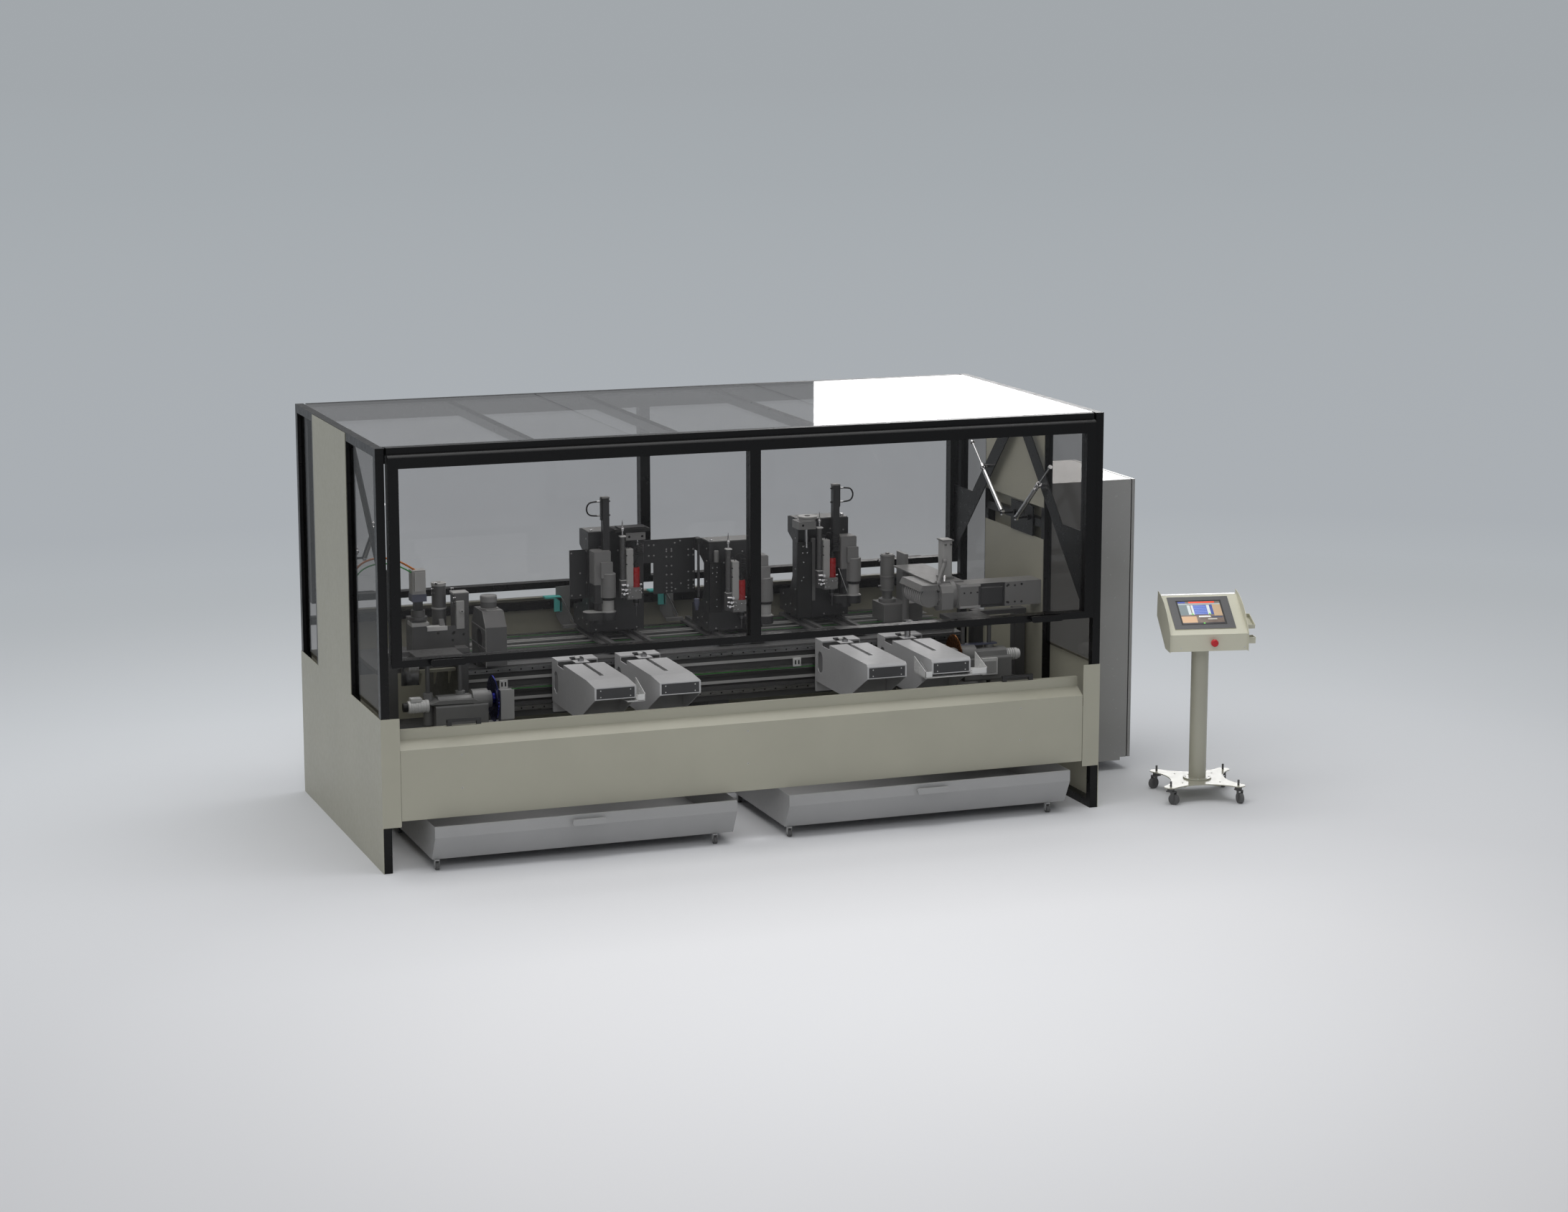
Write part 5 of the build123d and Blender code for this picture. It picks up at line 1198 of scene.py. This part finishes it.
def makeClampParts(values, index):
    first, length = values["bed"]
    x = first + values["places"][index] * length
    half = values["half"]
    face = values["face"]
    front = values["bracketFront"]
    back = values["bracketBack"]
    low = values["bracketLow"]
    thick = values["sheet"]
    shape = newShape()
    addBox(shape, (x - half + 10, face - 1.6, 794), (x + half - 10, face + 0.5, 849), 0)
    for fx in (-82, 82):
        for fz in (804, 838):
            addTurned(shape, (x + fx, face - 1.6, fz), (0, -1, 0), [(0, 3.4), (1.4, 3.4), (2, 2.2)], 2, 12)
    addBox(shape, (x - 12.5, 392, 868), (x - 10.5, 722, 869.6), 1)
    addBox(shape, (x + 10.5, 392, 868), (x + 12.5, 722, 869.6), 1)
    addBox(shape, (x - 40, 742, 868.4), (x + 40, 812, 871), 1)
    addTurned(shape, (x, 846, 869), (0, 0, 1), [(0, 15), (10, 15), (12, 12)], 2, 20)
    addBox(shape, (x - 34, 838, 868.5), (x + 34, 880, 876), 0)
    brackets, base = values["brackets"].get(index, ((), None))
    for a, b in brackets:
        addBox(shape, (x + a, front, low), (x + b, back, low + thick), 3)
        addBox(shape, (x + a, front, low), (x + b, front + thick, low + 34), 3)
        outer = x + a if a < 0 else x + b - thick
        addSlab(
            shape, "x", [(front, low), (back, low), (back, low + 92), (front, low + 36)], outer, outer + thick,
            3,
        )
        inner = x + b - thick if a < 0 else x + a
        addSlab(
            shape, "x", [(160, low + thick), (back, low + thick), (back, low + 60)], inner, inner + thick, 1,
        )
    if base:
        addBox(shape, (x + base[0], front, low - thick), (x + base[1], back, low), 3)
    looks = ["headGrey", "clampGrey", "screwZinc", "whiteGloss"]
    finishPiece(f"clamp{index + 1}Parts", shape, looks, f"clamp_{index + 1}", 0.4)


for index in range(len(clampSet["places"])):
    makeClampParts(clampSet, index)
print("units and clamps detailed")


# bed: light strips along its face and deck, small slotted plates
def makeBedTrim():
    shape = newShape()
    for z in (752, 640):
        addBox(shape, (712, 978, z), (3630, 981, z + 16), 0)
    for y in (1409, 1507, 1546):
        addBox(shape, (712, y - 9, 849), (3630, y + 9, 851.4), 0)
    for x in (914, 2620):
        addBox(shape, (x - 23, 968, 708), (x + 23, 979, 755), 1)
        for dx in (-10, 10):
            addBox(shape, (x + dx - 4, 966.8, 720), (x + dx + 4, 968.4, 744), 2)
    for z in (698,):
        addBox(shape, (709, 985, z), (3630, 988.4, z + 4), 3)
    for y in (1343, 1648):
        addBox(shape, (709, y - 2, 849.6), (3630, y + 2, 852.4), 3)
    finishPiece(
        "bedTrim", shape, ["lightGrey", "whiteGloss", "plasticBlack", "chainGreen"], "machine",
        0.3,
    )


makeBedTrim()

# saws: stepped lid, light servo, guard plates
def makeSawParts(side):
    shape = newShape()
    if side == "left":
        addSlab(
            shape, "y", [(399, 742), (399, 748), (447, 763), (632, 760), (678, 743), (678, 738)], 540, 660, 0,
        )
        addTurned(shape, (286, 600, 728), (1, 0, 0), [(0, 30), (2, 33), (96, 33), (98, 36), (112, 36)], 1, 32)
        addTurned(shape, (262, 600, 728), (1, 0, 0), [(0, 24), (24, 24)], 2, 28)
        addBox(shape, (300, 576, 758), (360, 624, 776), 1)
        for k in range(6):
            addTurned(
                shape, (300 + 13 * k, 600, 728), (1, 0, 0), [(0, 33.2), (1, 35), (5, 35), (6, 33.2)], 1, 32,
            )
        addBox(shape, (768, 498, 646), (842, 503, 806), 3)
    else:
        addBox(shape, (3560, 520, 676), (3652, 545, 770), 1)
        addBox(shape, (3572, 514, 690), (3640, 520, 756), 3)
        addTurned(shape, (3716, 600, 770), (1, 0, 0), [(0, 30), (2, 33), (84, 33), (86, 27), (98, 27)], 1, 32)
        for k in range(5):
            addTurned(
                shape, (3724 + 13 * k, 600, 770), (1, 0, 0), [(0, 33.2), (1, 35), (5, 35), (6, 33.2)], 3, 32,
            )
        addBox(shape, (3450, 596, 834), (3680, 640, 842), 2)
    finishPiece(
        side + "SawParts", shape,
        ["unitGrey", "whiteGloss", "gearBlue" if side == "right" else "plasticBlack", "lightGrey"],
        side + "_saw", 0.5,
    )


for side in ("left", "right"):
    makeSawParts(side)
print("bed and saws detailed")

# floor with a painted pool of light, background and light
floorSet = {
    # the floor's own colour paints a pool of light: brightest about the centre, darker further out
    "centre": (2000, -4000),
    "lightPool": [
        (0.0, (0.90, 0.90, 0.915)), (0.02, (0.87, 0.872, 0.89)), (0.042, (0.82, 0.82, 0.836)), (
            0.058, (0.752, 0.756, 0.774),
        ),
        (0.075, (0.705, 0.712, 0.732)), (0.15, (0.69, 0.714, 0.74)), (1.0, (0.69, 0.714, 0.74)),
    ],
    "lightPoolReach": 60.0,
    "far": [
        (0.0, (0.524, 0.547, 0.569)), (0.075, (0.524, 0.547, 0.569)), (0.096, (0.446, 0.472, 0.494)), (
            0.125, (0.404, 0.429, 0.456),
        ),
        (0.31, (0.392, 0.419, 0.443)), (0.5, (0.376, 0.404, 0.427)), (1.0, (0.363, 0.388, 0.409)),
    ],
    "farReach": 120.0,
    "blend": (7.5, 13.0),
}


def addFloor(values):
    size = 900
    mesh = bpy.data.meshes.new("floor")
    mesh.from_pydata(
        [(-size, -size, 0), (size, -size, 0), (size, size, 0), (-size, size, 0)], [], [(0, 1, 2, 3)],
    )
    floor = bpy.data.objects.new("floor", mesh)
    scene.collection.objects.link(floor)
    material, tree, shader, output = newMaterial("studioFloor")
    source = addNode(tree, "ShaderNodeTexCoord")
    gap = vectorMaths(tree, "DISTANCE", source.outputs["Object"], place(*values["centre"], 0))
    # painted pool of light: the floor's colour brightens towards the centre
    lightPool = mapRange(tree, gap, 0, values["lightPoolReach"], 0, 1)
    tree.links.new(rampColour(tree, lightPool, values["lightPool"]), shader.inputs["Base Color"])
    shader.inputs["Roughness"].default_value = 0.9
    shader.inputs["Specular IOR Level"].default_value = 0.1
    # far off, the floor fades into a plain backdrop that only the eye and gloss see
    far = mapRange(tree, gap, 0, values["farReach"], 0, 1)
    glow = addNode(tree, "ShaderNodeEmission", {"Color": rampColour(tree, far, values["far"])})
    rays = addNode(tree, "ShaderNodeLightPath")
    plain = maths(tree, "SUBTRACT", 1.0, rays.outputs["Is Diffuse Ray"])
    share = maths(tree, "MULTIPLY", mapRange(tree, gap, *values["blend"], 0, 1), plain)
    tree.links.new(mixShader(tree, share, shader, glow), output.inputs[0])
    mesh.materials.append(material)


addFloor(floorSet)

worldSet = {
    "light": (0.40, 0.405, 0.41), "low": (0.30, 0.31, 0.32), "seen": (0.36, 0.385, 0.405),
    "window": {"turn": (20.8, 60.0), "rise": (4.5, 17.0), "strength": 3.2},
}


def addWorld(values):
    world = bpy.data.worlds.new("studio")
    scene.world = world
    world.use_nodes = True
    tree = world.node_tree
    tree.nodes.clear()
    output = addNode(tree, "ShaderNodeOutputWorld")
    seen = addNode(tree, "ShaderNodeBackground", {"Color": (*values["seen"], 1)})
    source = addNode(tree, "ShaderNodeTexCoord")
    x, y, z = addNode(tree, "ShaderNodeSeparateXYZ", {0: source.outputs["Generated"]}).outputs
    sky = rampColour(tree, mapRange(tree, z, 0, 1, 0, 1), [(0.0, values["low"]), (0.7, values["light"])])
    # a bright studio window, seen only in gloss
    bright = values["window"]
    turns = [math.radians(angle) for angle in bright["turn"]]
    rises = [math.sin(math.radians(angle)) for angle in bright["rise"]]
    rays = addNode(tree, "ShaderNodeLightPath")
    here = window(tree, maths(tree, "ARCTAN2", x, y), z, *turns, *rises)
    here = maths(tree, "MULTIPLY", here, rays.outputs["Is Glossy Ray"])
    light = addNode(tree, "ShaderNodeBackground", {"Color": mixColour(tree, here, sky, (bright["strength"],) * 3)})
    tree.links.new(mixShader(tree, rays.outputs["Is Camera Ray"], light, seen), output.inputs[0])


addWorld(worldSet)

lampSet = {
    "overhead": {"at": (2000, 900, 7000), "to": (2000, 900, 0), "size": (9, 6), "watts": 420},
    "front": {"at": (-2500, -9000, 6500), "to": (2200, 0, 900), "size": (6, 4), "watts": 150},
}


def addLamps(values):
    for name, lamp in values.items():
        data = bpy.data.lights.new(name, "AREA")
        data.shape = "RECTANGLE"
        data.size, data.size_y = lamp["size"]
        data.energy = lamp["watts"]
        item = bpy.data.objects.new(name, data)
        item.location = place(*lamp["at"])
        aim = place(*lamp["to"]) - item.location
        item.rotation_euler = aim.to_track_quat("-Z", "Y").to_euler()
        item.visible_camera = False
        scene.collection.objects.link(item)


addLamps(lampSet)
print("stage lit")
